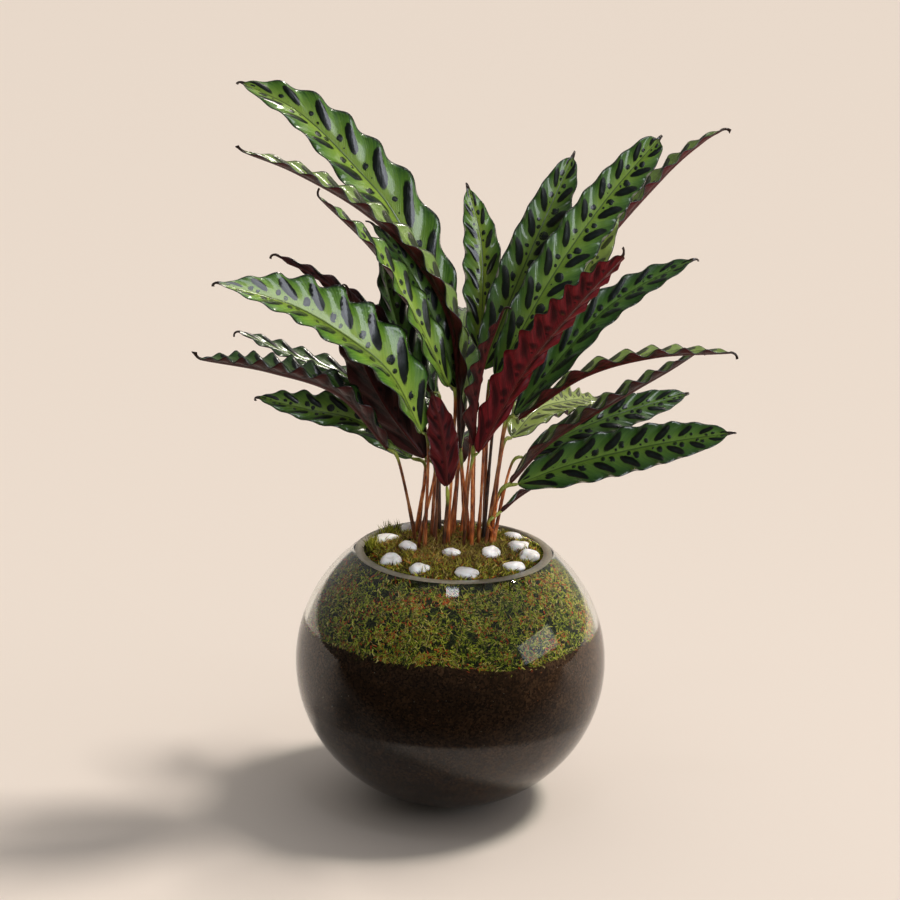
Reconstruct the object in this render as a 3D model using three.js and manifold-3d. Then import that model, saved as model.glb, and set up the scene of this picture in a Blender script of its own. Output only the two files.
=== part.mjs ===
// A rattlesnake plant growing in a clear glass bubble bowl, dressed with moss and white pebbles.
// Millimetres, +Z up. The origin is the centre of the bowl's flat base, on the surface.
// The plant's front looks along -Y, with +X to the right.
import * as THREE from "three";
import { mergeVertices } from "three/addons/utils/BufferGeometryUtils.js";
import Module from "manifold-3d";

const wasm = await Module();
wasm.setup();

// Clearance between pieces that touch
const GAP = 0.3;

// Glass bowl: a slightly flattened sphere, cut flat below and open above
const BOWL_SIDES = 36;
const BOWL_RADIUS = 125;
const BOWL_HALF_HEIGHT = 119;
const BOWL_CENTRE_Z = 112;
const BOWL_WALL = 4;
const BOWL_FLOOR_Z = 8;
const BOWL_RIM_Z = 205;

// Soil and moss in the bowl, by the height of their top at the glass
const SOIL_TOP_Z = 146;
const SOIL_TOP_WAVE = 3;
const MOSS_TOP_Z = 201;
const MOSS_MOUND = 9;
const MOSS_TOP_RADIUS = 69;
const MOSS_INNER_RING_RADII = [54, 34];

// Heights of the rings that the glass is built from, outside and inside
const OUTER_RING_HEIGHTS = [0, 14, 34, 60, 88, BOWL_CENTRE_Z, 136, 162, 184, BOWL_RIM_Z];
const INNER_RING_HEIGHTS = [BOWL_FLOOR_Z, 20, 44, 74, BOWL_CENTRE_Z, 134, 160, 184, BOWL_RIM_Z];

// Soil heaped under the moss, as [share of the wall radius, height]
const SOIL_HEAP = [[0.72, 166], [0.4, 184]];
const SOIL_HEAP_TOP_Z = 186;

// Rootstock under the moss, an oval lump that every leaf stalk grows from, and its hole
const ROOT_CENTRE = [1, 14];
const ROOT_RADIUS = 41;
const ROOT_DEPTH_SCALE = 0.76;
const ROOT_SIDES = 18;
const ROOT_LOW_Z = 170;
const ROOT_PROFILE = [
  [0, ROOT_LOW_Z], [27, ROOT_LOW_Z], [37, 180], [ROOT_RADIUS, 192], [38, 202], [28, 207], [0, 209],
];
const ROOT_HOLE_TOP_Z = 220;

// Leaf stalks
const STALK_RADIUS = 1.9;
const STALK_SIDES = 5;
const STALK_STEPS = 5;
const STALK_ROOT_Z = 196;
const STALK_FOOT_Z = 216;
const STALK_LEAD = 14;

// Leaf blades: widest a little below the middle, and full towards both ends
const BLADE_THICKNESS = 1.0;
const BLADE_END_WIDTH = 3.2;
const BLADE_SKEW = 0.9;
const BLADE_FULLNESS = 0.6;
const WAVE_SHORTENING = 0.45;
const WAVE_HEIGHT = 3;
const BLADE_COLUMNS = [-1, -0.5, 0, 0.5, 1];

// Each leaf: where its stalk leaves the moss, the points its midrib passes through from the
// stalk's end to the tip, the blade's full width, how many waves its margins have, the way its
// upper face looks at the base and at the tip, and how far its halves fold up, in degrees. A
// blunt leaf has its own fullness at the tip.
const LEAVES = [
  // Left side, from the top
  { foot: [0, 24], width: 54, waves: 8, fold: 28, face: [0.35, -0.8, 0.5], tipFace: [0.35, -0.75, 0.6],
    midrib: [[-5, 22, 367], [-49, 32, 461], [-86, 40, 505], [-130, 46, 545], [-174, 50, 566]] },
  { foot: [12, 5], width: 34, waves: 11, fold: 32, face: [0.6, -0.05, 0.8], tipFace: [0.6, -0.05, 0.8],
    midrib: [[3, -5, 292], [-6, -5, 385], [-34, -6, 440], [-77, -10, 480], [-128, -18, 510],
      [-167, -25, 526]] },
  { foot: [-5, -2], width: 36, waves: 7, fold: 20, face: [0.6, -0.7, 0.4], tipFace: [0.8, 0.2, 0.6],
    midrib: [[-8, -16, 345], [-34, -30, 402], [-66, -42, 455], [-109, -50, 498]] },
  { foot: [-3, 12], width: 34, waves: 6, fold: 14, face: [0.3, -0.9, 0.3], tipFace: [0.6, -0.5, 0.6],
    midrib: [[1, 5, 335], [-17, 3, 385], [-40, 0, 432], [-69, 0, 467]] },
  { foot: [-18, 20], width: 32, waves: 5, fold: 14, face: [0.5, -0.8, 0.3], tipFace: [0.5, -0.6, 0.6],
    midrib: [[-22, 28, 323], [-42, 31, 361], [-55, 32, 399], [-64, 30, 437]] },
  { foot: [-15, 5], width: 18, waves: 7, fold: 25, face: [0.3, 0.8, 0.6], tipFace: [0.3, 0.8, 0.6],
    midrib: [[-22, 8, 333], [-62, 2, 389], [-95, -3, 415], [-119, -5, 430], [-143, -8, 443]] },
  { foot: [-23, -8], width: 60, waves: 8, fold: 30, face: [0.55, -0.6, 0.55], tipFace: [0.65, -0.5, 0.6],
    midrib: [[-28, -25, 310], [-52, -45, 361], [-83, -58, 391], [-126, -70, 419], [-180, -85, 438]],
    tipFullness: 0.9 },
  { foot: [-27, -2], width: 44, waves: 6, fold: 10, face: [0.3, 0.9, 0.2], tipFace: [0.4, 0.7, 0.5],
    midrib: [[-25, -14, 286], [-58, -14, 330], [-79, -16, 375], [-88, -20, 421]] },
  { foot: [-28, 24], width: 26, waves: 7, fold: 16, face: [0.5, -0.21, 0.84], tipFace: [0.3, -0.25, 0.9],
    midrib: [[-36, 22, 303], [-89, 24, 339], [-131, 20, 356], [-173, 16, 375]] },
  { foot: [-32, 6], width: 38, waves: 10, fold: 36, face: [0.6, 0.1, 0.8], tipFace: [0.2, 0, 0.95],
    midrib: [[-54, -26, 296], [-92, -36, 341], [-144, -40, 359], [-198, -40, 367]] },
  { foot: [-30, 26], width: 33, waves: 6, fold: 25, face: [0.23, -0.73, 0.64], tipFace: [0.15, -0.7, 0.7],
    midrib: [[-36, 10, 278], [-79, 14, 306], [-120, 16, 314], [-157, 16, 322]] },
  { foot: [-8, -8], width: 24, waves: 4, fold: 12, face: [-0.2, 0.95, 0.1], tipFace: [-0.2, 0.9, 0.3],
    midrib: [[-7, -17, 264], [-9, -24, 291], [-13, -29, 317], [-20, -32, 342]] },
  // Middle
  { foot: [6, 26], width: 31, waves: 6, fold: 12, face: [-0.2, -0.95, 0.2], tipFace: [0, -0.9, 0.4],
    midrib: [[16, 34, 362], [17, 45, 408], [14, 55, 448], [3, 60, 486]] },
  { foot: [14, -4], width: 26, waves: 6, fold: 24, face: [-0.9, 0.3, 0.3], tipFace: [-0.9, 0.3, 0.3],
    midrib: [[13, -22, 300], [14, -34, 338], [20, -45, 378], [32, -53, 416]] },
  // Right side, from the top
  { foot: [15, 16], width: 39, waves: 7, fold: 12, face: [0.2, -0.95, 0.1], tipFace: [0.1, -0.9, 0.3],
    midrib: [[19, 14, 352], [43, 22, 419], [63, 30, 469], [83, 36, 518]], tipFullness: 0.45 },
  { foot: [20, 8], width: 38, waves: 9, fold: 12, face: [0, -0.98, 0.1], tipFace: [0, -0.9, 0.3],
    midrib: [[29, -5, 350], [67, 0, 426], [107, 5, 489], [147, 5, 540]], tipFullness: 0.3 },
  { foot: [24, 28], width: 36, waves: 7, fold: 12, face: [-0.4, -0.8, 0.4], tipFace: [-0.2, -0.8, 0.5],
    midrib: [[33, 24, 334], [75, 30, 391], [102, 34, 439], [120, 36, 479]] },
  { foot: [24, 18], width: 30, waves: 11, fold: 34, face: [-0.7, -0.1, 0.7], tipFace: [-0.7, -0.1, 0.7],
    midrib: [[38, 40, 333], [102, 58, 432], [157, 68, 499], [187, 72, 527], [202, 76, 536]] },
  { foot: [8, -6], width: 38, waves: 10, fold: 25, face: [-0.3, 0.72, 0.62], tipFace: [-0.3, 0.72, 0.62],
    midrib: [[17, -22, 294], [50, -45, 369], [86, -78, 428], [117, -105, 472]], tipFullness: 0.45 },
  { foot: [30, 12], width: 31, waves: 7, fold: 14, face: [-0.55, -0.72, 0.43], tipFace: [-0.4, -0.7, 0.6],
    midrib: [[45, 5, 318], [101, 2, 394], [136, -2, 425], [176, -8, 449]] },
  { foot: [26, 0], width: 30, waves: 8, fold: 26, face: [-0.6, 0.2, 0.8], tipFace: [-0.1, 0.1, 0.9],
    midrib: [[48, -14, 320], [96, -33, 361], [148, -48, 382], [205, -60, 390]] },
  { foot: [30, 4], width: 34, waves: 8, fold: 24, face: [-0.57, 0.14, 0.8], tipFace: [-0.57, 0.14, 0.8],
    midrib: [[43, -15, 268], [72, -20, 303], [124, -28, 342], [162, -33, 368], [182, -35, 383]] },
  { foot: [30, 22], width: 38, waves: 9, fold: 12, face: [-0.2, -0.6, 0.8], tipFace: [0, -0.5, 0.9],
    midrib: [[44, 22, 294], [64, 48, 310], [90, 78, 310], [114, 106, 305]] },
  { foot: [33, 12], width: 28, waves: 6, fold: 12, face: [0, -0.95, 0.3], tipFace: [0, -0.95, 0.3],
    midrib: [[56, 16, 280], [95, 20, 302], [137, 24, 319], [180, 28, 332]], tipFullness: 0.5 },
  { foot: [27, 32], width: 37, waves: 8, fold: 12, face: [-0.2, -0.9, 0.2], tipFace: [-0.1, -0.85, 0.4],
    midrib: [[50, 10, 259], [84, 0, 277], [119, -12, 292], [164, -30, 309], [208, -45, 322]],
    tipFullness: 0.5 },
  { foot: [32, 6], width: 12, waves: 3, fold: 20, face: [-0.4, 0.5, 0.75], tipFace: [-0.4, 0.4, 0.8],
    midrib: [[37, 0, 239], [48, 6, 248], [60, 14, 254], [72, 20, 259]] },
  // Back
  { foot: [0, 36], width: 34, waves: 5, fold: 12, face: [0, 0.3, 0.95], tipFace: [0, 0.9, 0.4],
    midrib: [[2, 52, 282], [0, 84, 278], [-3, 112, 256], [-6, 130, 224]] },
  { foot: [-12, 34], width: 36, waves: 6, fold: 12, face: [0.3, -0.8, 0.5], tipFace: [0.2, -0.6, 0.8],
    midrib: [[-21, 56, 308], [-39, 90, 341], [-54, 124, 360], [-66, 158, 368]] },
  { foot: [8, 38], width: 38, waves: 6, fold: 12, face: [0, -0.9, 0.4], tipFace: [0, -0.6, 0.8],
    midrib: [[0, 62, 317], [2, 98, 349], [3, 134, 363], [5, 172, 362]] },
  { foot: [20, 36], width: 36, waves: 6, fold: 12, face: [-0.3, -0.8, 0.5], tipFace: [-0.2, -0.5, 0.8],
    midrib: [[32, 62, 306], [56, 96, 336], [82, 128, 352], [112, 160, 355]] },
];

// Pebbles on the moss: centre [x, y], then length, width and height, and the turn in degrees
const PEBBLES = [
  { at: [-54, 21], size: [19, 13, 9], turn: 20 },
  { at: [-36, -9], size: [15, 12, 9], turn: -30 },
  { at: [-49, -32], size: [17, 13, 11], turn: 10 },
  { at: [-26, -50], size: [16, 12, 9], turn: 5 },
  { at: [-2, -22], size: [14, 10, 7], turn: 0 },
  { at: [11, -56], size: [18, 12, 9], turn: -8 },
  { at: [29, -17], size: [15, 12, 10], turn: 35 },
  { at: [48, -36], size: [17, 11, 8], turn: 0 },
  { at: [60, -9], size: [16, 14, 11], turn: 25 },
  { at: [52, 9], size: [16, 13, 9], turn: 15 },
  { at: [47, 36], size: [15, 11, 9], turn: -20 },
  { at: [30, 54], size: [12, 9, 7], turn: 40 },
  { at: [-38, 50], size: [15, 12, 10], turn: 60 },
];
const PEBBLE_STANDING = 0.55;

const MATERIALS = {
  glass: { color: 0xdfe6e2, roughness: 0.03, metalness: 0 },
  soil: { color: 0x2a1a14, roughness: 0.95, metalness: 0 },
  moss: { color: 0x6d8a24, roughness: 0.9, metalness: 0 },
  pebble: { color: 0xf1ece8, roughness: 0.35, metalness: 0 },
  stalk: { color: 0x8c4526, roughness: 0.5, metalness: 0 },
  leaf: { color: 0x4f7a2a, roughness: 0.35, metalness: 0 },
};

const materials = {};
for (const [name, values] of Object.entries(MATERIALS)) {
  materials[name] = new THREE.MeshStandardMaterial({ name, ...values });
}

const plant = new THREE.Group();

function addPiece(name, geometry, materialName) {
  const mesh = new THREE.Mesh(geometry, materials[materialName]);
  mesh.name = name;
  plant.add(mesh);
  return mesh;
}

function numbered(index) {
  return String(index + 1).padStart(2, "0");
}

function vector(point) {
  return new THREE.Vector3(...point);
}

function meshGeometry(positions, triangles) {
  const geometry = new THREE.BufferGeometry();
  geometry.setAttribute("position", new THREE.Float32BufferAttribute(positions, 3));
  geometry.setIndex(triangles);
  geometry.computeVertexNormals();
  return geometry;
}

// Solids for joining and cutting
function solidOf(geometry) {
  const bare = geometry.clone();
  bare.deleteAttribute("normal");
  bare.deleteAttribute("uv");
  const merged = mergeVertices(bare, 1e-4);
  const vertProperties = Float32Array.from(merged.attributes.position.array);
  const triVerts = Uint32Array.from(merged.index.array);
  return new wasm.Manifold(new wasm.Mesh({ numProp: 3, vertProperties, triVerts }));
}

function geometryOf(solid) {
  const mesh = solid.getMesh();
  return meshGeometry(Array.from(mesh.vertProperties), Array.from(mesh.triVerts));
}

// Bowl, soil and moss
function spheroidRadius(z, inset) {
  const height = (z - BOWL_CENTRE_Z) / (BOWL_HALF_HEIGHT - inset);
  return (BOWL_RADIUS - inset) * Math.sqrt(1 - height * height);
}

// Radius of the glass inside the bowl, on the straight facets between its rings
function innerWallRadius(z) {
  const above = INNER_RING_HEIGHTS.findIndex((height) => height > z);
  const low = INNER_RING_HEIGHTS[above - 1];
  const high = INNER_RING_HEIGHTS[above];
  const share = (z - low) / (high - low);
  return THREE.MathUtils.lerp(spheroidRadius(low, BOWL_WALL), spheroidRadius(high, BOWL_WALL), share);
}

function makeBowl() {
  const outer = OUTER_RING_HEIGHTS.map((z) => new THREE.Vector2(spheroidRadius(z, 0), z));
  const inner = INNER_RING_HEIGHTS.map((z) => new THREE.Vector2(spheroidRadius(z, BOWL_WALL), z));
  const bottom = new THREE.Vector2(0, 0);
  const floor = new THREE.Vector2(0, BOWL_FLOOR_Z);
  const profile = [bottom, ...outer, ...inner.reverse(), floor];
  const geometry = new THREE.LatheGeometry(profile, BOWL_SIDES);
  geometry.rotateX(Math.PI / 2);
  return geometryOf(solidOf(geometry));
}

// A closed round solid between two poles on the axis; each ring gives [radius, z] at an angle.
// The moss is built turned in, so that its underside is split as the soil's top is.
function ringSolid(lowPoleZ, rings, highPoleZ, turnedIn = false) {
  const positions = [0, 0, lowPoleZ];
  for (const ring of rings) {
    for (let side = 0; side < BOWL_SIDES; side += 1) {
      const angle = (side / BOWL_SIDES) * 2 * Math.PI;
      const [radius, z] = ring(angle);
      positions.push(radius * Math.cos(angle), radius * Math.sin(angle), z);
    }
  }
  positions.push(0, 0, highPoleZ);
  const highPole = 1 + rings.length * BOWL_SIDES;
  const triangles = [];
  for (let side = 0; side < BOWL_SIDES; side += 1) {
    const next = (side + 1) % BOWL_SIDES;
    triangles.push(0, 1 + next, 1 + side);
    for (let ring = 0; ring < rings.length - 1; ring += 1) {
      const low = 1 + ring * BOWL_SIDES;
      const high = low + BOWL_SIDES;
      if (turnedIn) {
        triangles.push(low + side, low + next, high + side);
        triangles.push(low + next, high + next, high + side);
      } else {
        triangles.push(low + side, low + next, high + next);
        triangles.push(low + side, high + next, high + side);
      }
    }
    const top = highPole - BOWL_SIDES;
    triangles.push(top + side, top + next, highPole);
  }
  return meshGeometry(positions, triangles);
}

function wallRing(z) {
  return () => [innerWallRadius(z) - GAP, z];
}

// The glass's own rings between two levels
function wallRingsBetween(low, high) {
  return INNER_RING_HEIGHTS.filter((z) => z > low && z < high).map(wallRing);
}

function soilLineZ(angle) {
  return SOIL_TOP_Z + SOIL_TOP_WAVE * (0.6 * Math.sin(3 * angle + 1) + 0.4 * Math.sin(7 * angle));
}

function soilLineRing(lift) {
  return (angle) => {
    const z = soilLineZ(angle) + lift;
    return [innerWallRadius(z) - GAP, z];
  };
}

function heapRing([share, z], lift) {
  return () => [share * innerWallRadius(SOIL_TOP_Z), z + lift];
}

function mossTopZ(radius) {
  return MOSS_TOP_Z + MOSS_MOUND * (1 - (radius / MOSS_TOP_RADIUS) ** 2);
}

function mossTopRing(radius) {
  return () => [radius, mossTopZ(radius)];
}

function makeSoil() {
  const low = BOWL_FLOOR_Z + GAP;
  const heap = SOIL_HEAP.map((row) => heapRing(row, 0));
  const sides = wallRingsBetween(low, SOIL_TOP_Z);
  const rings = [wallRing(low), ...sides, soilLineRing(0), ...heap];
  return ringSolid(low, rings, SOIL_HEAP_TOP_Z);
}

function makeMoss() {
  const heap = SOIL_HEAP.map((row) => heapRing(row, GAP)).reverse();
  const sides = wallRingsBetween(SOIL_TOP_Z, MOSS_TOP_Z);
  const top = [MOSS_TOP_RADIUS, ...MOSS_INNER_RING_RADII].map(mossTopRing);
  const rings = [...heap, soilLineRing(GAP), ...sides, ...top];
  return ringSolid(SOIL_HEAP_TOP_Z + GAP, rings, mossTopZ(0), true);
}

// Plain oval hole in soil and moss for the rootstock
function makeRootHole() {
  const radius = (ROOT_RADIUS + 2 * GAP) / Math.cos(Math.PI / ROOT_SIDES);
  const height = ROOT_HOLE_TOP_Z - ROOT_LOW_Z;
  const geometry = new THREE.CylinderGeometry(radius, radius, height, ROOT_SIDES);
  geometry.rotateX(Math.PI / 2);
  geometry.scale(1, ROOT_DEPTH_SCALE, 1);
  geometry.translate(...ROOT_CENTRE, ROOT_LOW_Z - GAP + height / 2);
  return solidOf(geometry);
}

function makePebble({ at, size, turn }, grown) {
  const geometry = new THREE.IcosahedronGeometry(1, 1);
  const [length, width, height] = size;
  geometry.scale(length / 2 + grown, width / 2 + grown, height / 2 + grown);
  geometry.rotateZ(THREE.MathUtils.degToRad(turn));
  const standing = mossTopZ(Math.hypot(...at)) + height * (PEBBLE_STANDING - 0.5);
  geometry.translate(...at, standing);
  return geometryOf(solidOf(geometry));
}

// Leaves
function midribCurve(leaf) {
  return new THREE.CatmullRomCurve3(leaf.midrib.map(vector), false, "catmullrom", 0.5);
}

function stalkSolid(leaf) {
  const neck = vector(leaf.midrib[0]);
  const lead = midribCurve(leaf).getTangentAt(0).multiplyScalar(STALK_LEAD);
  const [x, y] = leaf.foot;
  const foot = new THREE.Vector3(x, y, STALK_FOOT_Z);
  const root = new THREE.Vector3(x, y, STALK_ROOT_Z);
  const bend = neck.clone().sub(lead);
  const path = new THREE.CatmullRomCurve3([root, foot, bend, neck], false, "catmullrom", 0.5);
  const section = new THREE.Shape();
  for (let side = 0; side < STALK_SIDES; side += 1) {
    const angle = (side / STALK_SIDES) * 2 * Math.PI;
    const corner = [STALK_RADIUS * Math.cos(angle), STALK_RADIUS * Math.sin(angle)];
    if (side === 0) section.moveTo(...corner);
    else section.lineTo(...corner);
  }
  section.closePath();
  return solidOf(new THREE.ExtrudeGeometry(section, { steps: STALK_STEPS, extrudePath: path }));
}

// Share of the full width at a place along the blade, from 0 at the stalk to 1 at the tip
function bladeOutline(place, tipFullness = BLADE_FULLNESS) {
  const skewed = place ** BLADE_SKEW;
  const fullness = THREE.MathUtils.lerp(BLADE_FULLNESS, tipFullness, place);
  return (4 * skewed * (1 - skewed)) ** fullness;
}

// Place along the blade by the share of its waves, which grow shorter towards the tip
function wavePlace(share) {
  const first = 1 - WAVE_SHORTENING;
  return (Math.sqrt(first ** 2 + 4 * WAVE_SHORTENING * share) - first) / (2 * WAVE_SHORTENING);
}

function makeBlade(leaf) {
  const curve = midribCurve(leaf);
  const stations = 2 * leaf.waves;
  const faceAtBase = vector(leaf.face);
  const faceAtTip = vector(leaf.tipFace);
  const fold = THREE.MathUtils.degToRad(leaf.fold);
  const positions = [];
  for (let station = 0; station <= stations; station += 1) {
    const place = wavePlace(station / stations);
    const along = curve.getTangentAt(place);
    const centre = curve.getPointAt(place).addScaledVector(along, station === 0 ? GAP : 0);
    const up = faceAtBase.clone().lerp(faceAtTip, place);
    up.addScaledVector(along, -up.dot(along)).normalize();
    const side = along.clone().cross(up);
    const outline = bladeOutline(place, leaf.tipFullness);
    const half = Math.max(leaf.width * outline, BLADE_END_WIDTH) / 2;
    const wave = WAVE_HEIGHT * outline * (station % 2 === 0 ? 1 : -1);
    for (const column of BLADE_COLUMNS) {
      const reach = Math.abs(column) * half;
      const across = Math.sign(column) * reach * Math.cos(fold);
      const lift = reach * Math.sin(fold) + wave * column * Math.abs(column);
      for (const skin of [0.5, -0.5]) {
        const point = centre.clone().addScaledVector(side, across);
        point.addScaledVector(up, lift + skin * BLADE_THICKNESS);
        positions.push(point.x, point.y, point.z);
      }
    }
  }
  return meshGeometry(positions, bladeTriangles(stations));
}

// Every station holds a top and a bottom vertex for each column
function bladeTriangles(stations) {
  const columns = BLADE_COLUMNS.length;
  const at = (station, column, skin) => (station * columns + column) * 2 + skin;
  const triangles = [];
  const quad = (a, b, c, d) => triangles.push(a, b, c, a, c, d);
  for (let s = 0; s < stations; s += 1) {
    for (let c = 0; c < columns - 1; c += 1) {
      quad(at(s, c, 0), at(s, c + 1, 0), at(s + 1, c + 1, 0), at(s + 1, c, 0));
      triangles.push(at(s, c, 1), at(s + 1, c + 1, 1), at(s, c + 1, 1));
      triangles.push(at(s, c, 1), at(s + 1, c, 1), at(s + 1, c + 1, 1));
    }
    quad(at(s, 0, 1), at(s, 0, 0), at(s + 1, 0, 0), at(s + 1, 0, 1));
    const edge = columns - 1;
    quad(at(s, edge, 0), at(s, edge, 1), at(s + 1, edge, 1), at(s + 1, edge, 0));
  }
  for (let c = 0; c < columns - 1; c += 1) {
    quad(at(0, c, 1), at(0, c + 1, 1), at(0, c + 1, 0), at(0, c, 0));
    quad(at(stations, c, 0), at(stations, c + 1, 0), at(stations, c + 1, 1), at(stations, c, 1));
  }
  return triangles;
}

function makeCrown() {
  const profile = ROOT_PROFILE.map(([radius, z]) => new THREE.Vector2(radius, z));
  const lump = new THREE.LatheGeometry(profile, ROOT_SIDES);
  lump.rotateX(Math.PI / 2);
  lump.scale(1, ROOT_DEPTH_SCALE, 1);
  lump.translate(...ROOT_CENTRE, 0);
  let solid = solidOf(lump);
  for (const leaf of LEAVES) {
    solid = solid.add(stalkSolid(leaf));
  }
  return geometryOf(solid);
}

// Assembly
addPiece("glass_bowl", makeBowl(), "glass");

const rootHole = makeRootHole();
addPiece("potting_soil", geometryOf(solidOf(makeSoil()).subtract(rootHole)), "soil");

let moss = solidOf(makeMoss()).subtract(rootHole);
PEBBLES.forEach((pebble, index) => {
  moss = moss.subtract(solidOf(makePebble(pebble, GAP)));
  addPiece(`pebble_${numbered(index)}`, makePebble(pebble, 0), "pebble");
});
addPiece("moss", geometryOf(moss), "moss");

addPiece("crown_and_stalks", makeCrown(), "stalk");
LEAVES.forEach((leaf, index) => {
  addPiece(`leaf_${numbered(index)}`, makeBlade(leaf), "leaf");
});

export default plant;
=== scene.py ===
"""Dresses a rattlesnake plant that grows in a glass bubble bowl, around the frame's own nodes.

Everything is in metres, +Z up, with the origin at the centre of the bowl's flat base.
"""

import bisect
import math
import random
from collections import namedtuple
from functools import partial

import bmesh
import bpy
from bpy.props import FloatProperty, FloatVectorProperty, IntProperty, PointerProperty
from mathutils import Matrix, Vector, noise
from mathutils.geometry import interpolate_bezier


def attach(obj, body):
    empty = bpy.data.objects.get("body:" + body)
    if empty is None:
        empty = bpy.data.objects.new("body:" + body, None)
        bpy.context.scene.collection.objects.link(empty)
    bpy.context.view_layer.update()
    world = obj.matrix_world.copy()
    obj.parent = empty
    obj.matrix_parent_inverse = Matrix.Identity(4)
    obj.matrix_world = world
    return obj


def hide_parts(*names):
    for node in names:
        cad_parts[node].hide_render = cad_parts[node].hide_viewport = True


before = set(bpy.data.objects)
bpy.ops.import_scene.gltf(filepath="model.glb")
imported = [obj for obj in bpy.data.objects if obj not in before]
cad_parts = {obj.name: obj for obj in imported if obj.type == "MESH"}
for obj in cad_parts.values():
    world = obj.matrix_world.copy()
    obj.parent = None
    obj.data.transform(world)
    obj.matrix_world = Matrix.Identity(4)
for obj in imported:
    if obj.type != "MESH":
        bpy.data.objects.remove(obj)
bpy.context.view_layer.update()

bl_info = {
    "name": "Potted Rattlesnake Plant",
    "version": (1, 0, 0),
    "blender": (4, 5, 0),
    "location": "3D View > Sidebar > Plant",
    "description": "Dresses a rattlesnake plant that grows in a glass bubble bowl",
    "category": "Add Mesh",
}

# Clearance between pieces that touch
GAP = 0.0003

# Glass bowl: a slightly flattened sphere, cut flat below and open above
BOWL_RADIUS = 0.125
BOWL_HALF_HEIGHT = 0.119
BOWL_CENTRE_Z = 0.112
BOWL_CENTRE = Vector((0, 0, BOWL_CENTRE_Z))
BOWL_WALL = 0.004
BOWL_FLOOR_Z = 0.008
BOWL_RIM_Z = 0.205
BOWL_STEPS = 128

# Rounding of the bowl's foot, inwards and upwards
BASE_ROUND = 0.0006
BASE_ROUND_Z = 0.0004

# Soil and moss in the bowl, by the height of their top at the glass
SOIL_TOP_Z = 0.146
SOIL_TOP_WAVE = 0.003
MOSS_TOP_Z = 0.201
MOSS_MOUND = 0.009
MOSS_TOP_RADIUS = 0.069

# Soil heaped under the moss, as (share of the wall radius, height)
SOIL_HEAP = [(0.72, 0.166), (0.4, 0.184)]
SOIL_HEAP_TOP_Z = 0.186

# Pits between the crumbs of soil, and the radii of the specks in it
PIT_DEPTH = 0.0006
PIT_SCALE = 700
SPECK_SIZES = (0.0003, 0.0003, 0.0004, 0.0005, 0.0008)

# Moss bed, a little smaller all round than the moss that its strands fill out
BED_INSET = BOWL_WALL + 0.0022
BED_DROP = 0.002
BED_SHOULDER_Z = MOSS_TOP_Z - 0.004
BED_GRAIN = 0.0016
BED_RELIEF = 0.0016
BED_RELIEF_SCALE = 160

# Moss strands: how many in a tuft, how many kinds of tuft, and how far behind the glass they lie
TUFT_STRANDS = 12
TUFT_KINDS = 6
STRAND_INSET = BOWL_WALL + 0.0016

# Rootstock under the moss, an oval lump that every leaf stalk grows from, and its hole
ROOT_CENTRE = (0.001, 0.014)
ROOT_RADIUS = 0.041
ROOT_DEPTH_SCALE = 0.76
ROOT_LOW_Z = 0.17
ROOT_HOLE_DEPTH = 0.05
ROOT_SIDES = 48
ROOT_PROFILE = [
    (0, 0.17), (0.027, 0.17), (0.037, 0.18), (0.041, 0.192), (0.038, 0.202), (0.028, 0.207), (0, 0.209),
]

# Leaf stalks, and what swells them: the lip of the sheath, the joint under the blade and the foot.
# At the blade they narrow.
STALK_ROOT_Z = 0.196
STALK_FOOT_Z = 0.216
STALK_LEAD = 0.014
LIP_SWELL = 0.0003
LIP_STEP = 0.001
JOINT_SWELL = 0.0004
JOINT_PLACE = 0.007
JOINT_SPREAD = 0.005
FOOT_SWELL = 0.0003
FOOT_SPREAD = 0.02
NECK_TAPER = 0.0005
NECK_SPREAD = 0.0015

# Leaf blades: their least width, and the shape of their outline
BLADE_END_WIDTH = 0.0032
BLADE_SKEW = 0.9
BLADE_FULLNESS = 0.6

# Waves along a blade: how much shorter they grow to the tip, how much they differ, how far they
# scallop the margin, and the blade width in millimetres at which they have their common height
WAVE_SHORTENING = 0.45
WAVE_CHANGE = 0.35
SCALLOP = 0.045
COMMON_WIDTH = 35

# Shape across a blade: the groove over the midrib, the rib under it, and the roll of the margins
GROOVE_DEPTH = 0.0005
GROOVE_SPREAD = 0.0012
RIB_HEIGHT = 0.0011
RIB_SPREAD = 0.045
MARGIN_ROLL = 0.0012

# How much the dried tail of a blade narrows, and how far it folds up
TAIL_TAPER = 0.85
TAIL_FOLD = math.radians(50)

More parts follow.
